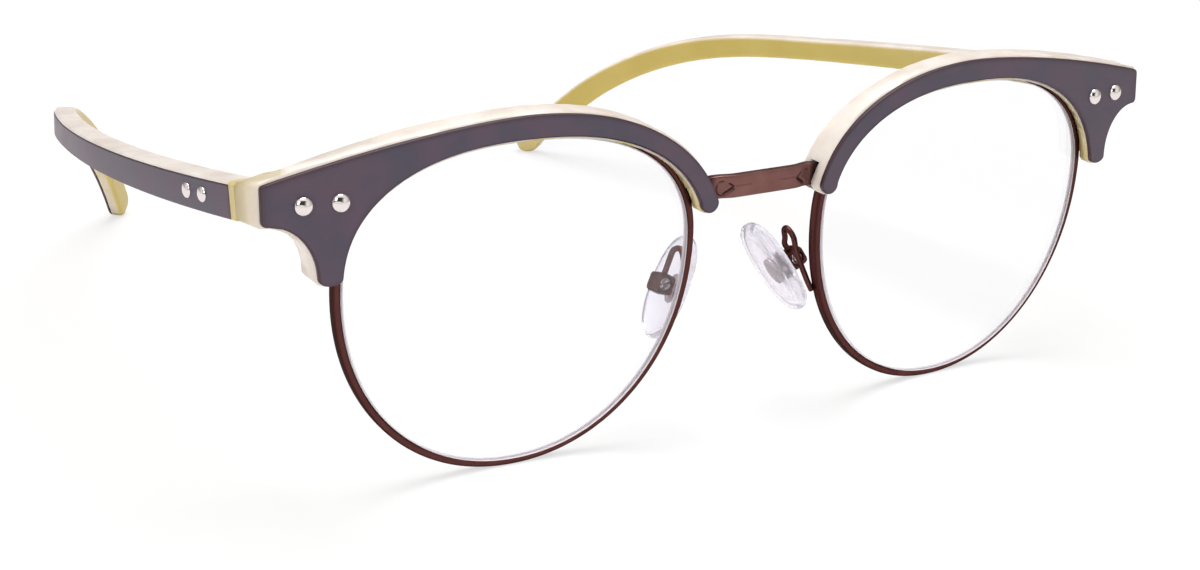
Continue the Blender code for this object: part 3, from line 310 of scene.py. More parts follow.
def new_material(name, settings):
    """A node material with its output and a Principled BSDF, which gets the settings."""
    made = bpy.data.materials.new(name)
    made.use_nodes = True
    made.node_tree.nodes.clear()
    shader = node(made.node_tree, "BsdfPrincipled", settings)
    node(made.node_tree, "OutputMaterial", (), {"Surface": shader})
    return made, made.node_tree, shader


# Brown gunmetal plating over polished nickel silver: a smooth dark metal whose faint drawing marks and
# patchy lustre show as streaks about 0.2 mm apart and patches some 4 mm wide. It stays dark where it is
# seen at a glancing angle.
plating = {"Metallic": 0.85, "Specular Tint": linear("4A3634")}
gunmetal, tree, shader = new_material("brown_gunmetal_plating", plating)
spot = node(tree, "TexCoord").outputs["Object"]
patch = node(tree, "TexNoise", {"Scale": 260.0, "Detail": 4.0}, {"Vector": spot})
browns = {"name": "browns", "data_type": "RGBA", 6: linear("4B2B29"), 7: linear("65403C")}
colour = node(tree, "Mix", browns, {0: patch})
# painted shade: a mark on each point darkens the plating to near black where shade falls on the wires and the bar
painted_shade_mark = node(tree, "Attribute", {"attribute_name": "painted_shade"})
near_black = {"data_type": "RGBA", 7: linear("1E0F0E")}
shaded_browns = node(tree, "Mix", near_black, {0: painted_shade_mark.outputs["Fac"], 6: colour.outputs[2]})
fine = node(tree, "TexNoise", {"Scale": 5000.0, "Detail": 2.0}, {"Vector": spot})
rough = node(tree, "MapRange", {3: 0.2, 4: 0.4}, {0: patch})
bump = node(tree, "Bump", {"Strength": 0.12, "Distance": 0.00002}, {"Height": fine})
link(shader, {"Base Color": shaded_browns.outputs[2], "Roughness": rough, "Normal": bump})

wire_steps, wire_around = 260, 44
turns = np.linspace(0, 2 * math.pi, wire_around, endpoint=False)
profile_out, back_share = superellipse(turns, wire_squareness)
profile_back = back_share * wire_depth / 2
# the groove is cut into the flat that faces the lens
groove = groove_depth * np.clip(1 - np.abs(profile_back) / groove_half, 0, 1) * (profile_out < lens_flat)
profile_grow = (wire_inner + wire_outer) / 2 + profile_out * wire_radial / 2 + groove
# painted shade: the plating is drawn near black on the side towards the lens and at the back, less so on the
# corners
lens_side_shade, corner_shade, corner_from, corner_run = 0.85, 0.5, 0.35, 0.35
corner_share = (np.abs(profile_out * back_share) - corner_from) / corner_run
inner_share = -2 * profile_out - 1
wire_shade = np.maximum(corner_shade * corner_share, lens_side_shade * np.maximum(back_share, inner_share))
wire_shade_grid = np.broadcast_to(np.clip(wire_shade, 0, lens_side_shade), (wire_steps, wire_around))
split = line_angle(split_height, wire_outer)
half_gap = split_gap / lens_width
wire_angles = np.linspace(split + half_gap, split - half_gap + 2 * math.pi, wire_steps)
wire_lines = []
for grow, back in zip(profile_grow, profile_back):
    out, up = lens_line(wire_angles, grow)
    wire_lines.append(in_lens_plane(out, back, up))
add_pair(
    "eyewire_wire", np.stack(wire_lines, axis=1), "front", "eyewire_left", gunmetal, "brown_gunmetal",
    {"painted_shade": wire_shade_grid},
)

# Lenses. Clear hard plastic, cast and polished, then edged to a bevel that sits in the wire's groove;
# the ground bevel is matt and shows as a whitish band inside the rim.
lens_edge, bevel_rise, bevel_foot = 0.0018, 0.00065, 0.00045
front_radius, back_radius = 0.2500, 0.3200
lens_around, lens_middle, last_ring, lens_ring_count = 200, 0.03, 0.994, 16
lens_angles = np.linspace(0, 2 * math.pi, lens_around, endpoint=False)
edge_out, edge_up = lens_line(lens_angles, -bevel_rise)
reach = np.hypot(edge_out, edge_up)


def lens_surface(share, radius, back):
    """A share of the way out to the edge on a shallow sphere: sag = (edge^2 - distance^2) / (2 radius)."""
    sag = ((lens_width / 2) ** 2 - (reach * share) ** 2) / (2 * radius)
    return in_lens_plane(edge_out * share, back - sag, edge_up * share)


lens_shares = np.append(np.linspace(lens_middle, last_ring, lens_ring_count), 1)
lens_rings = [lens_surface(share, front_radius, -lens_edge / 2) for share in lens_shares]
ground = [0.0] * (len(lens_shares) - 1) + [1.0]
for grow, back in ((-bevel_rise, -bevel_foot), (0, 0), (-bevel_rise, bevel_foot)):
    out, up = lens_line(lens_angles, grow)
    lens_rings.append(in_lens_plane(out, back, up))
    ground.append(1.0)
lens_rings += [lens_surface(share, back_radius, lens_edge / 2) for share in lens_shares[::-1]]
ground += [1.0] + [0.0] * (len(lens_shares) - 1)


def pass_shadows(tree, surface, tint):
    """Lets shadow rays straight through a surface, coloured by a tint; all other rays meet the surface."""
    path = node(tree, "LightPath")
    clear = node(tree, "BsdfTransparent", {"Color": tint})
    mixed = node(tree, "MixShader", (), {0: path.outputs["Is Shadow Ray"], 1: surface, 2: clear})
    link(tree.nodes["Material Output"], {"Surface": mixed})


# Clear optical plastic, IOR 1.50, polished; shadow rays pass straight through it.
polished = {"Base Color": linear("FBFBFD"), "Transmission Weight": 1.0, "IOR": 1.5, "Roughness": 0.0}
lens_plastic, tree, shader = new_material("clear_optical_plastic", polished)
ground_mark = node(tree, "Attribute", {"attribute_name": "ground"})
matt = node(tree, "BsdfDiffuse", {"Color": linear("E4DDE2")})
through = node(tree, "BsdfTranslucent", {"Color": linear("F2ECF0")})
frosted = node(tree, "MixShader", {0: 0.5}, {1: matt, 2: through})
edged = node(tree, "MixShader", (), {0: ground_mark.outputs["Fac"], 1: shader, 2: frosted})
pass_shadows(tree, edged, linear("FFFFFF"))
ground_grid = np.repeat(np.array(ground)[:, None], lens_around, axis=1)
add_pair("lens_blank", lens_rings, "front", "lens_left", lens_plastic, "clear_lens", {"ground": ground_grid})

# Browline faces. Each is a sheet of slate plum cellulose acetate, sawn out with the cream layer that is
# glued behind it, and tumbled, so that its edges are rounded and its face has a satin bloom.
face_forward, face_radius, face_lean, face_lean_height = 0.00402, 0.5420, 0.114, 0.0150
brow_side, brow_cover, brow_width, brow_height = 0.00035, 0.00015, 0.0032, 0.0029
upper_exponent, brow_taper, nose_taper, nose_end_height = 2.22, 1.6, 0.0005, 0.0118
corner_x, corner_top, corner_bottom, corner_round = 0.0699, 0.0202, 0.0152, 0.0006
leg_outer_x, leg_foot_height, foot_inner_height, foot_drop = 0.0633, 0.0083, 0.0083, 0.0009
dark_layer, dark_round, glue_line = 0.0004, 0.0002, 0.00018
brow_steps, brow_across = 260, 22
# shares along the outline where the crown and the end piece's two corners lie, on the lower arch's count
crown_share, top_corner_share, low_corner_share = 0.44, 0.80, 0.87


def arc(centre, radii, start, end, count):
    """Points on an ellipse, centre + (radius * cos, radius * sin), from one angle in degrees to another."""
    angles = np.radians(np.linspace(start, end, count))
    return np.column_stack([centre[0] + radii[0] * np.cos(angles), centre[1] + radii[1] * np.sin(angles)])


def spaced(line, shares):
    """Points at shares of a line's length, straight between its own points."""
    steps = np.hypot(*np.diff(line, axis=0).T)
    run = np.concatenate([[0], np.cumsum(steps)]) / steps.sum()
    return np.column_stack([np.interp(shares, run, column) for column in line.T])


def arch_sizes(grow, upper):
    """Half width, rise and exponent of the lower or upper arch, grown outwards."""
    half = lens_width / 2 + brow_side + grow + (brow_width if upper else 0)
    rise = lens_top - brow_cover - widest_rise + grow + (brow_height if upper else 0)
    return half, rise, upper_exponent if upper else top_exponent


def nasal_angle(height, grow, upper=False):
    """The angle at which an arch passes a height on its nasal side: its formula turned round."""
    _, rise, exponent = arch_sizes(grow, upper)
    return math.pi - math.asin(((height - widest_rise) / rise) ** (exponent / 2))


def brow_arch(angles, grow, upper=False):
    """An arch in X and Z: the upper half of a superellipse on the lens's widest line."""
    half, rise, exponent = arch_sizes(grow, upper)
    out, up = superellipse(angles, exponent)
    return np.column_stack([lens_centre_x + half * out, widest_rise + rise * up])


def brow_sides(margin, lower, upper):
    """The outline's four sides in X and Z: lower arch, foot, top with the end piece, and nose end.

    The top runs down as a power curve to the end piece's corner, and a quarter ellipse sweeps from there
    to the leg."""
    low_start, low_end = nasal_angle(nose_end_height, lower), math.pi - nasal_angle(foot_inner_height, lower)
    low_arch = brow_arch(np.linspace(low_start, low_end, 600), lower)
    leg_x = leg_outer_x + margin
    foot_centre = ((low_arch[-1, 0] + leg_x) / 2, leg_foot_height)
    foot = arc(foot_centre, (leg_x - foot_centre[0], foot_drop + margin), 195, 345, 60)
    end_x, low_z, top_z = corner_x + margin, corner_bottom - margin, corner_top + margin
    sweep_centre = (end_x - corner_round, leg_foot_height)
    sweep = arc(sweep_centre, (sweep_centre[0] - leg_x, low_z - leg_foot_height), 90, 180, 200)
    low_corner = arc((end_x - corner_round, low_z + corner_round), (corner_round, corner_round), 0, -90, 30)
    top_corner = arc((end_x - corner_round, top_z - corner_round), (corner_round, corner_round), 70, 0, 30)
    crown_z = lens_top - brow_cover + brow_height + upper
    run = np.linspace(0, 1, 200)
    top_x = lens_centre_x + (end_x - corner_round - lens_centre_x) * run
    top_edge = np.column_stack([top_x, crown_z - (crown_z - top_z) * run**brow_taper])
    nose_top = nasal_angle(nose_end_height, upper - nose_taper, True)
    angles = np.linspace(nose_top, math.pi / 2, 300)
    narrowing = (angles - math.pi / 2) / (nose_top - math.pi / 2)
    high_arch = brow_arch(angles, upper - nose_taper * narrowing, True)
    tip_centre = (high_arch[0] + low_arch[0]) / 2
    tip_radius = np.linalg.norm(high_arch[0] - low_arch[0]) / 2
    # the nose end is a half circle that starts and ends at right angles to the arches
    direction = math.degrees(math.atan2(*(low_arch[0] - high_arch[0])[::-1]))
    nose = arc(tip_centre, (tip_radius, tip_radius), direction, direction - 180, 60)
    shares = np.linspace(0, 1, brow_steps)
    bottom = spaced(low_arch, shares)
    pieces = [high_arch, top_edge[1:], np.vstack([top_corner, low_corner]), np.vstack([sweep, foot[-1:]])]
    marks = (0, crown_share, top_corner_share, low_corner_share, 1)
    top = []
    for line, start, end in zip(pieces, marks, marks[1:]):
        inside = shares[(shares >= start) & ((shares < end) | (end == 1))]
        top.append(spaced(line, (inside - start) / (end - start)))
    top = np.vstack(top)
    across = np.linspace(0, 1, brow_across)
    foot = spaced(np.vstack([bottom[-1:], foot, top[-1:]]), across)
    nose = spaced(np.vstack([bottom[:1], nose[1:-1], top[:1]]), across)
    return bottom, foot, top, nose


def patch_of(sides):
    """A patch filled between four sides: ruled both ways, less the bilinear share of its corners."""
    bottom, end, top, start = sides
    u = np.linspace(0, 1, len(bottom))[:, None, None]
    v = np.linspace(0, 1, len(end))[None, :, None]
    ruled = (1 - v) * bottom[:, None] + v * top[:, None] + (1 - u) * start[None] + u * end[None]
    low_corners = (1 - u) * (1 - v) * bottom[0] + u * (1 - v) * bottom[-1]
    return ruled - (low_corners + (1 - u) * v * top[0] + u * v * top[-1])


def rim_of(grid):
    """A grid's edge points in order: along its first row, down its end and back."""
    return np.concatenate([grid[:, 0], grid[-1, 1:], grid[-2::-1, -1], grid[0, -2:0:-1]])


def face_y(x, z):
    """The browline's front surface: a shallow parabola in X that leans back as it rises."""
    return -face_forward + x * x / (2 * face_radius) + face_lean * (z - face_lean_height)


def plate(front, rings, back):
    """Points and faces of a plate between a front and a back grid, joined by edge rings."""
    rows, columns = front.shape[:2]
    size = rows * columns
    index = np.arange(size).reshape(rows, columns)
    quads = np.stack([index[:-1, :-1], index[1:, :-1], index[1:, 1:], index[:-1, 1:]], axis=-1).reshape(-1, 4)
    rim = rim_of(index)
    around = len(rim)
    loops = [rim] + [2 * size + i * around + np.arange(around) for i in range(len(rings))] + [rim + size]
    faces = quads.tolist() + (quads[:, ::-1] + size).tolist()
    for near, far in zip(loops, loops[1:]):
        faces += np.stack([near, far, np.roll(far, -1), np.roll(near, -1)], axis=-1).tolist()
    return np.vstack([front.reshape(-1, 3), back.reshape(-1, 3), *rings]), faces


roll = np.radians(np.linspace(0, 90, 7))
levels = [(dark_round * (1 - math.sin(a)), dark_round * (1 - math.cos(a))) for a in roll]
levels += [(0.0, dark_layer + glue_line)]
sheets = []
for inset, depth in levels:
    patch_grid = patch_of(brow_sides(-inset, inset, -inset))
    x, z = patch_grid[..., 0], patch_grid[..., 1]
    sheets.append(np.stack([x, face_y(x, z) + depth, z], axis=-1))
front, back = sheets[0], sheets[-1]
edge_rings = [rim_of(sheet) for sheet in sheets[1:-1]]
# how near a point lies to the edge: 1 on the rounded edge and the side, fading over the first rows
face_rim_mark, first_ring_mark, ring_mark_step, fade_rows = 0.4, 0.5, 0.25, 1.5
rows_in = np.minimum(np.arange(brow_across), np.arange(brow_across)[::-1])
row_fade = np.clip(1 - rows_in / fade_rows, 0, 1)
front_mark = np.broadcast_to(row_fade * face_rim_mark, (brow_steps, brow_across)).copy()
front_mark[[0, -1]] = face_rim_mark
ring_marks = [min(first_ring_mark + ring_mark_step * i, 1) for i in range(len(edge_rings))]
edge_marks = np.repeat(ring_marks, len(edge_rings[0]))
edge = np.concatenate([front_mark.ravel(), np.ones(front_mark.size), edge_marks])

# Cellulose acetate, satin: milky slate plum with a soft cloud every 6 mm or so, a fine sanded grain of
# about 0.15 mm drawn coarse enough to show, and darker maroon towards its edges.
dark_acetate, tree, shader = new_material("slate_plum_acetate", {"IOR": 1.48})
spot = node(tree, "TexCoord").outputs["Object"]
cloud = node(tree, "TexNoise", {"Scale": 160.0, "Detail": 3.0}, {"Vector": spot})
mottle = node(tree, "MapRange", {1: 0.36, 2: 0.64}, {0: cloud})
plums = {"data_type": "RGBA", 6: linear("494453"), 7: linear("584756")}
base = node(tree, "Mix", plums, {0: mottle})
ear_mark = node(tree, "Attribute", {"attribute_name": "ear"})
milky = {"data_type": "RGBA", 7: linear("847A80")}
paler = node(tree, "Mix", milky, {0: ear_mark.outputs["Fac"], 6: base.outputs[2]})
edge_mark = node(tree, "Attribute", {"attribute_name": "edge"})
maroon = {"data_type": "RGBA", 7: linear("3A2029")}
edged = node(tree, "Mix", maroon, {0: edge_mark.outputs["Fac"], 6: paler.outputs[2]})
grain = node(tree, "TexNoise", {"Scale": 6500.0, "Detail": 2.0}, {"Vector": spot})
rough = node(tree, "MapRange", {3: 0.36, 4: 0.5}, {0: cloud})
bump = node(tree, "Bump", {"Strength": 0.15, "Distance": 0.00003}, {"Height": grain})
link(shader, {"Base Color": edged.outputs[2], "Roughness": rough, "Normal": bump})
add_sides(
    "brow_sheet", *plate(front, edge_rings, back), "front", "brow_face_left", dark_acetate, "dark_acetate",
    {"edge": edge}, sharp=40,
)

# Cream layers of the brow. Thick, slightly translucent cellulose acetate: cream where the light falls on
# it from above, with painted shade in a deeper olive yellow where it turns away, below and behind. Its soft
# clouds are some 5 mm wide, and its polishing marks 0.25 mm, as coarse as they need to be to show.
waxy = {"Roughness": 0.3, "IOR": 1.48, "Subsurface Weight": 0.25, "Subsurface Scale": 1.0}
waxy["Subsurface Radius"] = (0.0012, 0.001, 0.0005)
cream_acetate, tree, shader = new_material("cream_acetate", waxy)
spot = node(tree, "TexCoord").outputs["Object"]
cloud = node(tree, "TexNoise", {"Scale": 190.0, "Detail": 3.0}, {"Vector": spot})
mottle = node(tree, "MapRange", {1: 0.36, 2: 0.64}, {0: cloud})
creams = {"data_type": "RGBA", 6: linear("DACEC3"), 7: linear("E9E0D8")}
pale = node(tree, "Mix", creams, {0: mottle})
olives = {"data_type": "RGBA", 6: linear("BFA94F"), 7: linear("CDB868")}
deep = node(tree, "Mix", olives, {0: cloud})
olive_shade_mark = node(tree, "Attribute", {"attribute_name": "olive_shade"})
olive_shade_links = {0: olive_shade_mark.outputs["Fac"], 6: pale.outputs[2], 7: deep.outputs[2]}
blend = node(tree, "Mix", {"data_type": "RGBA"}, olive_shade_links)
grain = node(tree, "TexNoise", {"Scale": 4000.0, "Detail": 2.0}, {"Vector": spot})
bump = node(tree, "Bump", {"Strength": 0.08, "Distance": 0.00002}, {"Height": grain})
link(shader, {"Base Color": blend.outputs[2], "Normal": bump})
olive_shade_most, olive_shade_gain, olive_shade_start = 0.75, 1.6, 0.3
block_y, block_depth, block_x, block_fade = 0.0010, 0.0036, 0.0660, 0.0010
bevelled_from = 35


def mark_olive_shade(mesh, rule):
    """Stores how much painted olive shade each corner gets: the share, cut to 0 to 1, that a rule gives for its
    upright point and normal, both mirrored onto the left side."""
    normals = np.empty(len(mesh.loops) * 3, np.float32)
    mesh.corner_normals.foreach_get("vector", normals)
    points = np.empty(len(mesh.vertices) * 3, np.float32)
    mesh.vertices.foreach_get("co", points)
    corners = np.empty(len(mesh.loops), np.int32)
    mesh.loops.foreach_get("vertex_index", corners)
    upright = ((points.reshape(-1, 3) - stand_place) @ tip_turn)[corners]
    facing = normals.reshape(-1, 3) @ tip_turn
    side = np.array([np.sign(upright[:, 0].mean()), 1, 1])
    shares = np.clip(rule(upright * side, facing * side), 0, 1)
    mesh.attributes.new("olive_shade", "FLOAT", "CORNER").data.foreach_set("value", shares.astype(np.float32))


def brow_olive_shade(points, normals):
    """Painted shade: olive where the surface faces the lens's middle, and on the end block more towards the seam.
    """
    towards = unit(np.array([lens_centre_x, 0, 0]) - points * [1, 0, 1])
    inner = (normals * towards).sum(axis=1) * olive_shade_gain - olive_shade_start
    behind = np.clip((points[:, 1] - block_y) / block_depth, 0, 1)
    block = olive_shade_most * behind * np.clip((points[:, 0] - block_x) / block_fade, 0, 1)
    return np.minimum(np.maximum(inner, block), olive_shade_most)


def refined(name, finish, bevel=0):
    """A CAD node's own mesh with its loose triangles merged and its sharp edges rounded by a bevel."""
    body = next(body for body, names in frame["record"]["behaviour"]["bodies"].items() if name in names)
    mesh = frame["nodes"][name].data.copy()
    shape = bmesh.new()
    shape.from_mesh(mesh)
    bmesh.ops.remove_doubles(shape, verts=shape.verts, dist=0.000002)
    shape.to_mesh(mesh)
    shape.free()
    piece = add_piece(f"{name}_finished", mesh, body, name, finish)
    if bevel:
        rounding = piece.modifiers.new("rounding", "BEVEL")
        rounding.width = bevel
        rounding.segments = 2
        rounding.limit_method = "ANGLE"
        rounding.angle_limit = math.radians(bevelled_from)
        rounding.harden_normals = False
    return piece


for side in ("left", "right"):
    mark_olive_shade(refined(f"brow_back_{side}", cream_acetate).data, brow_olive_shade)

# Bridge. A flat bar of the same plated metal, stamped with a shallow arc and a branching crease near
# each end, its long edges broken, bowed forward and brazed to both wires.
bar_height, bar_thickness, bar_front, bar_bottom = 0.0031, 0.0012, 0.0030, 0.0114
bar_flat_half, bar_droop_start, bar_droop = 0.0045, 0.0060, 0.0005
bar_sweep, bar_sweep_end, bar_end_clear = 0.0011, 0.0095, 0.00012
bar_steps, bar_around, section_steps, bar_squareness = 420, 132, 721, 7
stamp_depth, stamp_half, stamped_face = 0.00026, 0.00013, 0.4
ring_x, ring_drop, ring_radius, ring_stretch, ring_open = 0.0067, 0.0001, 0.0008, 1.2, 0.0066
ring_narrow, ring_faint = 1.3, 0.00008
# painted shade: how near black the bar is drawn at its ends by the brow, from where and over what run, and in its
# stamping
corner_dark, corner_dark_x, corner_dark_run, stamp_dark = 0.8, 0.0075, 0.0008, 0.85
# the branching crease's strokes: start, end, how narrow each is and how faint
strokes = (
    ((0.0024, 0.0001), (0.0051, 0.0001), 1.3, 0.00012),
    ((0.0051, 0.0001), (0.0058, 0.0005), 1.0, 0.00005),
    ((0.0052, -0.0001), (0.0064, -0.0009), 0.6, 0.0),
)


def near_line(x, z, start, end):
    """Distance from points to a straight line between two points."""
    start, end = np.array(start), np.array(end)
    along = end - start
    share = np.clip(((x - start[0]) * along[0] + (z - start[1]) * along[1]) / (along @ along), 0, 1)
    return np.hypot(x - start[0] - share * along[0], z - start[1] - share * along[1])


def stamped(x, z):
    """Depth of the stamping: depth * exp(-(reach / half)^2), with the reach to the nearest line of an arc
    and three strokes."""
    x = np.abs(x)
    ring = np.abs(np.hypot(x - ring_x, (z + ring_drop) / ring_stretch) - ring_radius)
    reach = np.where(x > ring_open, ring * ring_narrow + ring_faint, 1.0)
    for start, end, narrow, faint in strokes:
        reach = np.minimum(reach, near_line(x, z, start, end) * narrow + faint)
    return stamp_depth * np.exp(-((reach / stamp_half) ** 2))


section_y, section_z = superellipse(np.linspace(0, 2 * math.pi, section_steps), bar_squareness)
section = np.column_stack([section_y * bar_thickness / 2, section_z * bar_height / 2])
# the closed section is spaced evenly, so that the stamping has points across its whole face
section_y, section_z = spaced(section, np.linspace(0, 1, bar_around, endpoint=False)).T
share = np.linspace(-1, 1, bar_steps)[:, None]
z = bar_bottom + bar_height / 2 + section_z[None, :]
end_rise = (z - bar_droop - widest_rise) / (lens_top - widest_rise + wire_outer)
out, _ = lens_line(math.pi - np.arcsin(end_rise ** (top_exponent / 2)), wire_outer + bar_end_clear)
x = share * (lens_centre_x + out)
sweep_share = np.clip((np.abs(x) - bar_flat_half) / (bar_sweep_end - bar_flat_half), 0, 1)
droop_share = np.clip((np.abs(x) - bar_droop_start) / (bar_sweep_end - bar_droop_start), 0, 1)
pressed = stamped(x, section_z[None, :]) * (section_y[None, :] < -bar_thickness * stamped_face)
y = -bar_front + bar_thickness / 2 + section_y[None, :] + pressed
y = y + bar_sweep * sweep_share**2 * (3 - 2 * sweep_share)
end_dark = corner_dark * np.clip((np.abs(x) - corner_dark_x) / corner_dark_run, 0, 1)
bar_shade = np.maximum((pressed / stamp_depth) ** 2 * stamp_dark, end_dark)
points = capped(stood(np.stack([x, y, z - bar_droop * droop_share**2], axis=-1)))
# The bar's plating is the wires', with paler browns for a painted highlight; the stamping and the corners at the
# brow get painted shade, near black.
bar_metal = gunmetal.copy()
bar_metal.name = "brown_gunmetal_bar_plating"
lit_browns = bar_metal.node_tree.nodes["browns"].inputs
lit_browns[6].default_value, lit_browns[7].default_value = linear("64413D"), linear("8C6863")
bar_metal.node_tree.nodes["Principled BSDF"].inputs["Metallic"].default_value = 0.65
painted_shade = {"painted_shade": np.append(bar_shade.ravel(), [0, 0])}
mesh = outward_mesh("bridge_bar", points, ring_faces(bar_steps, bar_around), painted_shade)
add_piece("bridge_bar", mesh, "front", "bridge", bar_metal)

# Brow rivets. Domed steel rivets, headed cold and polished; they pin both acetate layers to the metal
# lug and the hinge leaf behind.
rivet_head, rivet_dome, rivet_shank = 0.0012, 0.0007, 0.0006
front_rivets, front_rivet_z = {"inner": 0.0603, "outer": 0.06485}, 0.0174
leaf_back, rivet_tail, rivet_lift = 0.0047, 0.0002, 0.00003
tail_round, tail_taper, head_step, rivet_around = 0.0001, 0.7, 0.00001, 48

# Polished steel: near white, very smooth, with a faint polishing haze in patches of about 0.7 mm.
steel, tree, shader = new_material("polished_steel", {"Base Color": linear("E6E2DF"), "Metallic": 1.0})
spot = node(tree, "TexCoord").outputs["Object"]
haze = node(tree, "TexNoise", {"Scale": 1500.0, "Detail": 3.0}, {"Vector": spot})
rough = node(tree, "MapRange", {3: 0.03, 4: 0.12}, {0: haze})
link(shader, {"Roughness": rough})


def turned_rings(profile, count, seat, direction):
    """A profile of (radius, height) turned about its axis, with the axis along a direction from the seat."""
    direction = unit(direction)
    side = unit(np.cross([0, 0, 1], direction))
    other = np.cross(direction, side)
    turns = np.linspace(0, 2 * math.pi, count, endpoint=False)
    circle = np.cos(turns)[:, None] * side + np.sin(turns)[:, None] * other
    return seat + profile[:, :1, None] * circle[None] + profile[:, 1:, None] * direction


def rivet_profile(stack, radius, dome):
    """Radius and height of a quarter ellipse for the head, a step in to the shank, and its rounded end."""
    turns = np.radians(np.linspace(4, 90, 14))
    head = np.column_stack([radius * np.sin(turns), dome * np.cos(turns)])
    shank = [(rivet_shank, -head_step), (rivet_shank, tail_round - stack), (rivet_shank * tail_taper, -stack)]
    return np.vstack([head, shank])


for place, x in front_rivets.items():
    away = unit([x / face_radius, -1, face_lean])
    seat = np.array([x, face_y(x, front_rivet_z), front_rivet_z]) + away * rivet_lift
    stack = (seat[1] - leaf_back) / away[1] + rivet_tail
    rings = turned_rings(rivet_profile(stack, rivet_head, rivet_dome), rivet_around, seat, away)
    name = f"brow_rivet_{place}"
    add_pair(f"{name}_head", rings, "front", f"{name}_left", steel, "polished_steel")

# Temples. Each is cut from laminated acetate, dark outside and cream inside, bent in behind the ear and
# down; the dark sheet stops short of the hinge end, and the cream is bevelled above its upper edge.
temple_length = 0.1380
temple_splay, temple_bow, temple_drop = math.radians(-6.8), math.radians(37.1), math.radians(9.95)
ear_turn, ear_turn_start, ear_turn_run = math.radians(11.2), 0.0723, 0.0415
ear_drop, ear_drop_start, ear_drop_run = math.radians(69.5), 0.0721, 0.1016
temple_outer_x, temple_hinge_z, seam_y, seam_gap = 0.0709, 0.0169, 0.0060, 0.0003
hinge_end_height, waist_height, ear_height, waist_place = 0.0046, 0.0036, 0.0044, 0.0680
hinge_end_thickness, waist_thickness, ear_thickness = 0.0039, 0.0036, 0.0023
dark_start, tip_round, glue_gap = 0.0014, 0.0026, 0.00004
dark_top_step, temple_round, tip_thinning, tip_closing = 0.00042, 0.0007, 0.35, 0.97
cream_lip, bare_lip, lip_height, foot_chamfer = 0.00012, 0.00001, 0.00006, 0.0001
# how far in and how far down the points of the cream's upper bevel lie
cream_bevel = ((0.0007, 0.0), (0.0005, 0.00002), (0.0003, 0.00012))
temple_start = (temple_outer_x - hinge_end_thickness / 2, seam_y, temple_hinge_z)


def temple_path(places):
    """Centre, outward and upward directions of the left temple at distances from its seam.

    The direction turns steadily inwards and again behind the ear, and dips there along a smooth step
    3 s^2 - 2 s^3; the centre is the running sum of the directions."""
    fine = np.linspace(0, temple_length, 561)

    def eased(start, run):
        s = np.clip((fine - start) / run, 0, 1)
        return s * s * (3 - 2 * s)

    turn = temple_splay + temple_bow * fine / temple_length + ear_turn * eased(ear_turn_start, ear_turn_run)
    dip = temple_drop + ear_drop * eased(ear_drop_start, ear_drop_run)
    along = np.column_stack([-np.sin(turn) * np.cos(dip), np.cos(turn) * np.cos(dip), -np.sin(dip)])
    up = np.column_stack([-np.sin(turn) * np.sin(dip), np.cos(turn) * np.sin(dip), np.cos(dip)])
    steps = (along[1:] + along[:-1]) / 2 * (fine[1] - fine[0])
    centre = np.array(temple_start) + np.vstack([np.zeros(3), np.cumsum(steps, axis=0)])
    lines = (centre, np.cross(along, up), up)
    return [np.column_stack([np.interp(places, fine, column) for column in line.T]) for line in lines]


def temple_halves(places):
    """Half thickness and half height along the temple: straight runs between stations, a round tip."""
    into_tip = np.clip((places - temple_length + tip_round) / tip_round, 0, 1)
    closing = np.sqrt(np.clip(1 - tip_closing * into_tip**2, 0, 1))
    heights = (hinge_end_height, waist_height, ear_height)
    height = np.interp(places, (0, waist_place, temple_length - tip_round), heights)
    thicknesses = (hinge_end_thickness, waist_thickness, ear_thickness)
    thickness = np.interp(places, (0, waist_place, temple_length), thicknesses)
    return thickness / 2 * (1 - tip_thinning * into_tip**4), height / 2 * closing


def dark_section(half, rise, _):
    """The dark sheet's section: flat back, rounded outer corners, its top edge a step below the cream's."""
    top, inner, r = rise - dark_top_step, half - dark_layer, min(dark_round, rise / 3)
    top = max(top, rise * 0.5)
    corners = [arc((half - r, top - r), (r, r), 90, 0, 6), arc((half - r, r - rise), (r, r), 0, -90, 6)]
    return np.vstack([*corners, (inner, -rise), (inner, top)])


def cream_section(half, rise, place):
    """The cream body's section: rounded towards the head, flat where the dark sheet covers it, and above
    the sheet a bevel that comes forward to meet its upper edge."""
    covered = place > dark_start - 0.000045
    r = min(temple_round, rise * 0.6)
    top = max(rise - dark_top_step, rise * 0.5)
    inner = half - dark_layer - glue_gap if covered else half
    lip = half - (cream_lip if covered else bare_lip)
    low, high = arc((r - half, r - rise), (r, r), 270, 180, 7), arc((r - half, rise - r), (r, r), 180, 90, 7)
    bevel = [(half - inwards, rise - down) for inwards, down in cream_bevel]
    step = [(lip, top + lip_height), (lip - 0.00002, top + glue_gap), (inner, top + glue_gap)]
    side = [(inner, 0.0), (inner, foot_chamfer - rise), (inner - foot_chamfer, -rise)]
    return np.vstack([low, high, bevel, step, side])


def temple_rings(places, section):
    """A section, which depends on the half sizes and the place, carried along the temple's path."""
    centre, out, up = temple_path(places)
    half, rise = temple_halves(places)
    rings = []
    for i, place in enumerate(places):
        offsets = section(half[i], rise[i], place)
        rings.append(centre[i] + offsets[:, :1] * out[i] + offsets[:, 1:] * up[i])
    return np.array(rings)


tip_shares = 1 - (1 - np.linspace(0, 1, 14)[1:]) ** 2
tip = temple_length - tip_round + tip_round * tip_shares
blade = np.linspace(dark_start, temple_length - tip_round, 200)
places = np.concatenate([blade, tip])
dark_rings = temple_rings(places, dark_section)
count = dark_rings.shape[1]
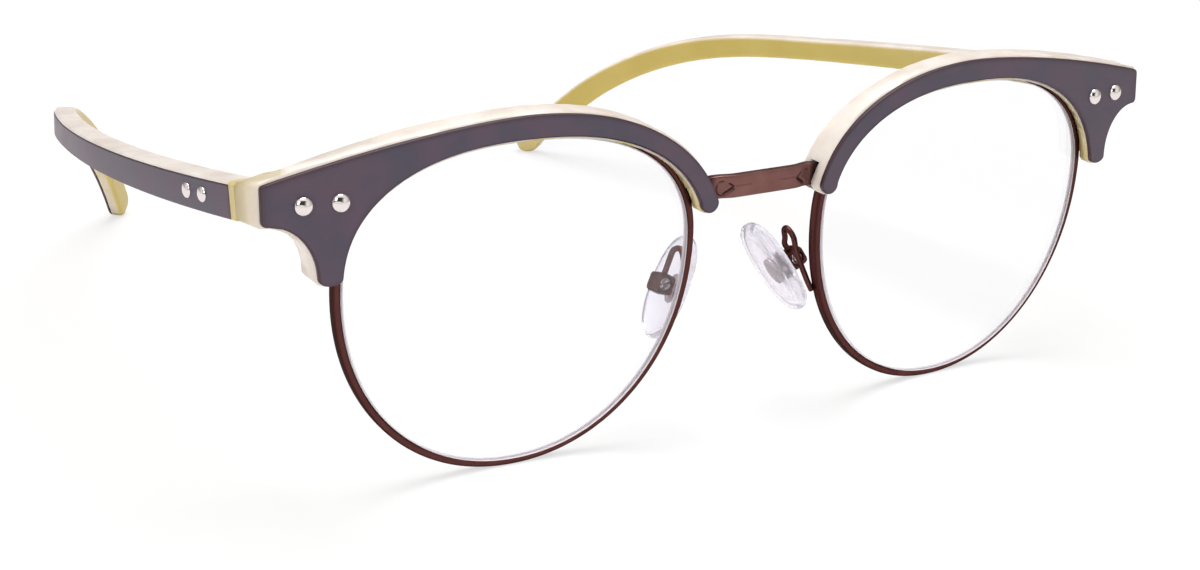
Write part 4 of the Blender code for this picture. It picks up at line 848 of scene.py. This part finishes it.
# the acetate pales from 45 mm behind the seam on, and its upper and lower edges show maroon
pale_start, pale_run, seam_mark, upper_marks, lower_row = 0.045, 0.09, 0.7, (1.0, 1.0, 0.85, 0.4), 8
ear = np.clip((places - pale_start) / pale_run, 0, 1)[:, None] * np.ones(count)
edge = np.zeros(count)
edge[: len(upper_marks)], edge[lower_row:] = upper_marks, 1.0
edge_grid = np.broadcast_to(edge, (len(places), count)).copy()
edge_grid[0] = seam_mark
add_pair(
    "temple_sheet", dark_rings, "temple_left", "temple_face_left", dark_acetate, "dark_acetate",
    {"edge": edge_grid, "ear": ear}, sharp=40,
)
# the cream steps back under the dark sheet between two rings 0.01 mm apart, just before the sheet starts
strip = [seam_gap / 2, seam_gap / 2 + 0.0001, dark_start - 0.0002, dark_start - 0.00005, dark_start - 0.00004]
cream_rings = temple_rings(np.concatenate([strip, blade[1:], tip]), cream_section)
head_and_ground = np.array([-0.8, -0.6, -0.6])
temple_shade_gain, temple_shade_start, strip_olive_shade = 1.3, 0.1, 0.8


def temple_olive_shade(points, normals):
    """Painted shade: olive where the surface faces the head and the ground, and on the uncovered strip at the
    hinge.
    """
    inner = normals @ head_and_ground * temple_shade_gain - temple_shade_start
    strip = strip_olive_shade * (points[:, 1] < seam_y + dark_start + 0.0002)
    return np.maximum(inner, strip)


pieces = add_pair(
    "temple_body", cream_rings, "temple_left", "temple_back_left", cream_acetate, "cream_acetate", sharp=30
)
for piece in pieces:
    mark_olive_shade(piece.data, temple_olive_shade)

# Temple rivets. Two flatter steel rivets, headed like those of the brow, hold the temple's hinge leaf
# through both acetate layers.
temple_rivets, leaf_thickness, leaf_gap = {"front": 0.0081, "rear": 0.0122}, 0.0007, 0.0003
flat_head, flat_dome, flat_around = 0.0010, 0.00045, 40
for place, distance in temple_rivets.items():
    centre, out, up = temple_path(np.array([distance]))
    half, _ = temple_halves(np.array([distance]))
    seat = centre[0] + out[0] * (half[0] + rivet_lift)
    stack = 2 * half[0] + leaf_gap + leaf_thickness + rivet_tail
    rings = turned_rings(rivet_profile(stack, flat_head, flat_dome), flat_around, seat, out[0])
    name = f"temple_rivet_{place}"
    add_pair(f"{name}_head", rings, "temple_left", f"{name}_left", steel, "polished_steel")

# Nose pads. Soft ovals of clear silicone, moulded round a stamped metal plate whose eye turns on a
# screw in the box behind.
pad_pivot = np.array([0.0113, 0.0042, -0.0017])
pad_tilt, pad_lean, pad_splay = math.radians(30), math.radians(14), math.radians(-4)
pad_reach, pad_rise, pad_behind = 0.00175, 0.0004, 0.0011
pad_half_length, pad_half_width, pad_exponent, pad_thickness = 0.0073, 0.00415, 2.3, 0.0022
tilt_out, tilt_up = math.cos(pad_tilt), math.sin(pad_tilt)
pad_nose = np.array([-tilt_out * math.cos(pad_splay), math.sin(pad_splay), -tilt_up * math.cos(pad_splay)])
pad_up = np.array([-tilt_up * math.cos(pad_lean), math.sin(pad_lean), tilt_out * math.cos(pad_lean)])
pad_up = unit(pad_up - pad_nose * (pad_up @ pad_nose))
pad_axes = np.array([np.cross(pad_up, pad_nose), pad_up, pad_nose])


def on_pad(points):
    """Points in the pad's own frame (front, up, towards the nose) brought to the upright frame."""
    return np.asarray(points) @ pad_axes + pad_pivot


pad_around = 96
angles = np.linspace(0, 2 * math.pi, pad_around, endpoint=False)
across, along = superellipse(angles, pad_exponent)
pad_round, pad_crown, pad_dish = 0.0008, 0.00035, 0.00045
roll = np.radians(np.linspace(-90, 90, 15))
side_height = pad_thickness - pad_crown
# how far in from the outline each ring lies, and its height: the dished back, the round side, the crown
levels = [(3.0, pad_dish), (2.2, pad_dish), (1.5, pad_dish * 0.7), (1.15, 0.00006)]
levels = [(share * pad_round, height) for share, height in levels]
levels += [(pad_round * (1 - math.cos(a)) * 0.8, side_height / 2 * (1 + math.sin(a))) for a in roll]
levels += [(0.0012, side_height + pad_crown * 0.45), (0.0020, side_height + pad_crown * 0.8)]
levels += [(0.0030, side_height + pad_crown * 0.97), (0.0038, pad_thickness)]
pad_rings = []
for inset, height in levels:
    x = (pad_half_width - inset) * across - pad_behind
    y = (pad_half_length - inset) * along + pad_rise
    pad_rings.append(on_pad(np.column_stack([x, y, np.full(pad_around, pad_reach + height)])))

# Clear silicone, IOR 1.41: glossy and faintly lavender, with a little cloud every 2 mm inside.
silicone, tree, shader = new_material("clear_silicone", {"Transmission Weight": 0.85, "IOR": 1.41})
spot = node(tree, "TexCoord").outputs["Object"]
cloud = node(tree, "TexNoise", {"Scale": 500.0, "Detail": 3.0}, {"Vector": spot})
lavenders = {"data_type": "RGBA", 6: linear("EEEAF4"), 7: linear("F8F6FB")}
tint = node(tree, "Mix", lavenders, {0: cloud})
rough = node(tree, "MapRange", {3: 0.08, 4: 0.2}, {0: cloud})
link(shader, {"Base Color": tint.outputs[2], "Roughness": rough})
pass_shadows(tree, shader, linear("F0ECF4"))
add_pair("nose_pad_soft", pad_rings, "pad_left", "nose_pad_left", silicone, "clear_silicone", sharp=50)
# The insert and the pad's screw are the same steel left dull.
dull_steel = steel.copy()
dull_steel.name = "dull_steel"
dull_steel.node_tree.nodes["Principled BSDF"].inputs["Base Color"].default_value = linear("A3989B")
for side in ("left", "right"):
    refined(f"pad_insert_{side}", dull_steel, bevel=0.0001)

# Pad boxes and their screws. Small pressed boxes, plated like the wires, open to the pad; the screw
# passes through the pad's eye from the front.
for side in ("left", "right"):
    refined(f"pad_box_{side}", gunmetal, bevel=0.0002)
    refined(f"pad_screw_{side}", dull_steel)

# Pad arms. A round wire, brazed to the back of the eyewire, bent up over a loop and down into the box,
# so that the pads can be set.
arm_radius, root_sink, root_taper, box_sink, above_gap = 0.0004, 0.8, 0.7, 0.0001, 0.0003
arm_root, arm_root_back, arm_leave, arm_leave_back = -0.0050, 0.0004, -0.0033, 0.0012
arm_loop = [
    (0.0097, 0.0015, 0.0002), (0.0094, 0.0021, 0.0022), (0.0092, 0.0033, 0.0031), (0.0095, 0.0044, 0.0026),
    (0.0099, 0.0046, 0.0013),
]
box_side = 0.0026
grow = wire_outer + arm_radius * root_sink
root = []
for height, back in ((arm_root, arm_root_back), (arm_leave, arm_leave_back)):
    out, up = lens_line(np.array(line_angle(height, grow, True)), grow)
    root.append(in_lens_plane(out, back, up))
box_top = on_pad([0, box_side / 2 - box_sink, 0])
above_box = on_pad([0, box_side / 2 + 2 * arm_radius + above_gap, 0])
arm_points = np.array([*root, *arm_loop, above_box, box_top])


def smooth_line(points, steps):
    """A cubic curve through the points: each point's slope is half the step from the one before to the
    one after."""
    ends = np.vstack([2 * points[0] - points[1], points, 2 * points[-1] - points[-2]])
    s = np.linspace(0, 1, steps, endpoint=False)[None, :, None]
    before, start, end, after = (ends[i : len(ends) - 3 + i, None] for i in range(4))
    pull_in, pull_out = (end - before) / 2, (after - start) / 2
    curve = start * (2 * s**3 - 3 * s**2 + 1) + end * (3 * s**2 - 2 * s**3)
    curve = curve + pull_in * (s**3 - 2 * s**2 + s) + pull_out * (s**3 - s**2)
    return np.vstack([curve.reshape(-1, 3), points[-1:]])


def tube(line, radii, around):
    """A circle carried along a line, its first direction carried on from step to step."""
    along = unit(np.gradient(line, axis=0))
    side = np.cross(along[0], [0, 0, 1])
    sides = []
    for direction in along:
        side = unit(side - direction * (side @ direction))
        sides.append(side)
    sides = np.array(sides)
    others = np.cross(along, sides)
    turns = np.linspace(0, 2 * math.pi, around, endpoint=False)
    circle = np.cos(turns)[None, :, None] * sides[:, None] + np.sin(turns)[None, :, None] * others[:, None]
    return line[:, None] + circle * radii[:, None, None]


arm_line = smooth_line(arm_points, steps=16)
arm_radii = np.full(len(arm_line), arm_radius)
arm_radii[0] = arm_radius * root_taper
arm_rings = tube(arm_line, arm_radii, around=24)
add_pair("pad_arm_wire", arm_rings, "front", "pad_arm_left", gunmetal, "brown_gunmetal")

# Rim locks, hinges and small screws. Turned and pressed metal behind the end pieces and the nose ends,
# kept as the solids have them, with their edges broken.
for side in ("left", "right"):
    for name in ("rim_lock_upper", "rim_lock_lower"):
        refined(f"{name}_{side}", gunmetal, bevel=0.00008)
    for name in ("front_hinge_leaf", "temple_hinge_leaf", "hinge_screw", "rim_lock_screw", "brow_screw"):
        refined(f"{name}_{side}", steel, bevel=0.00006)
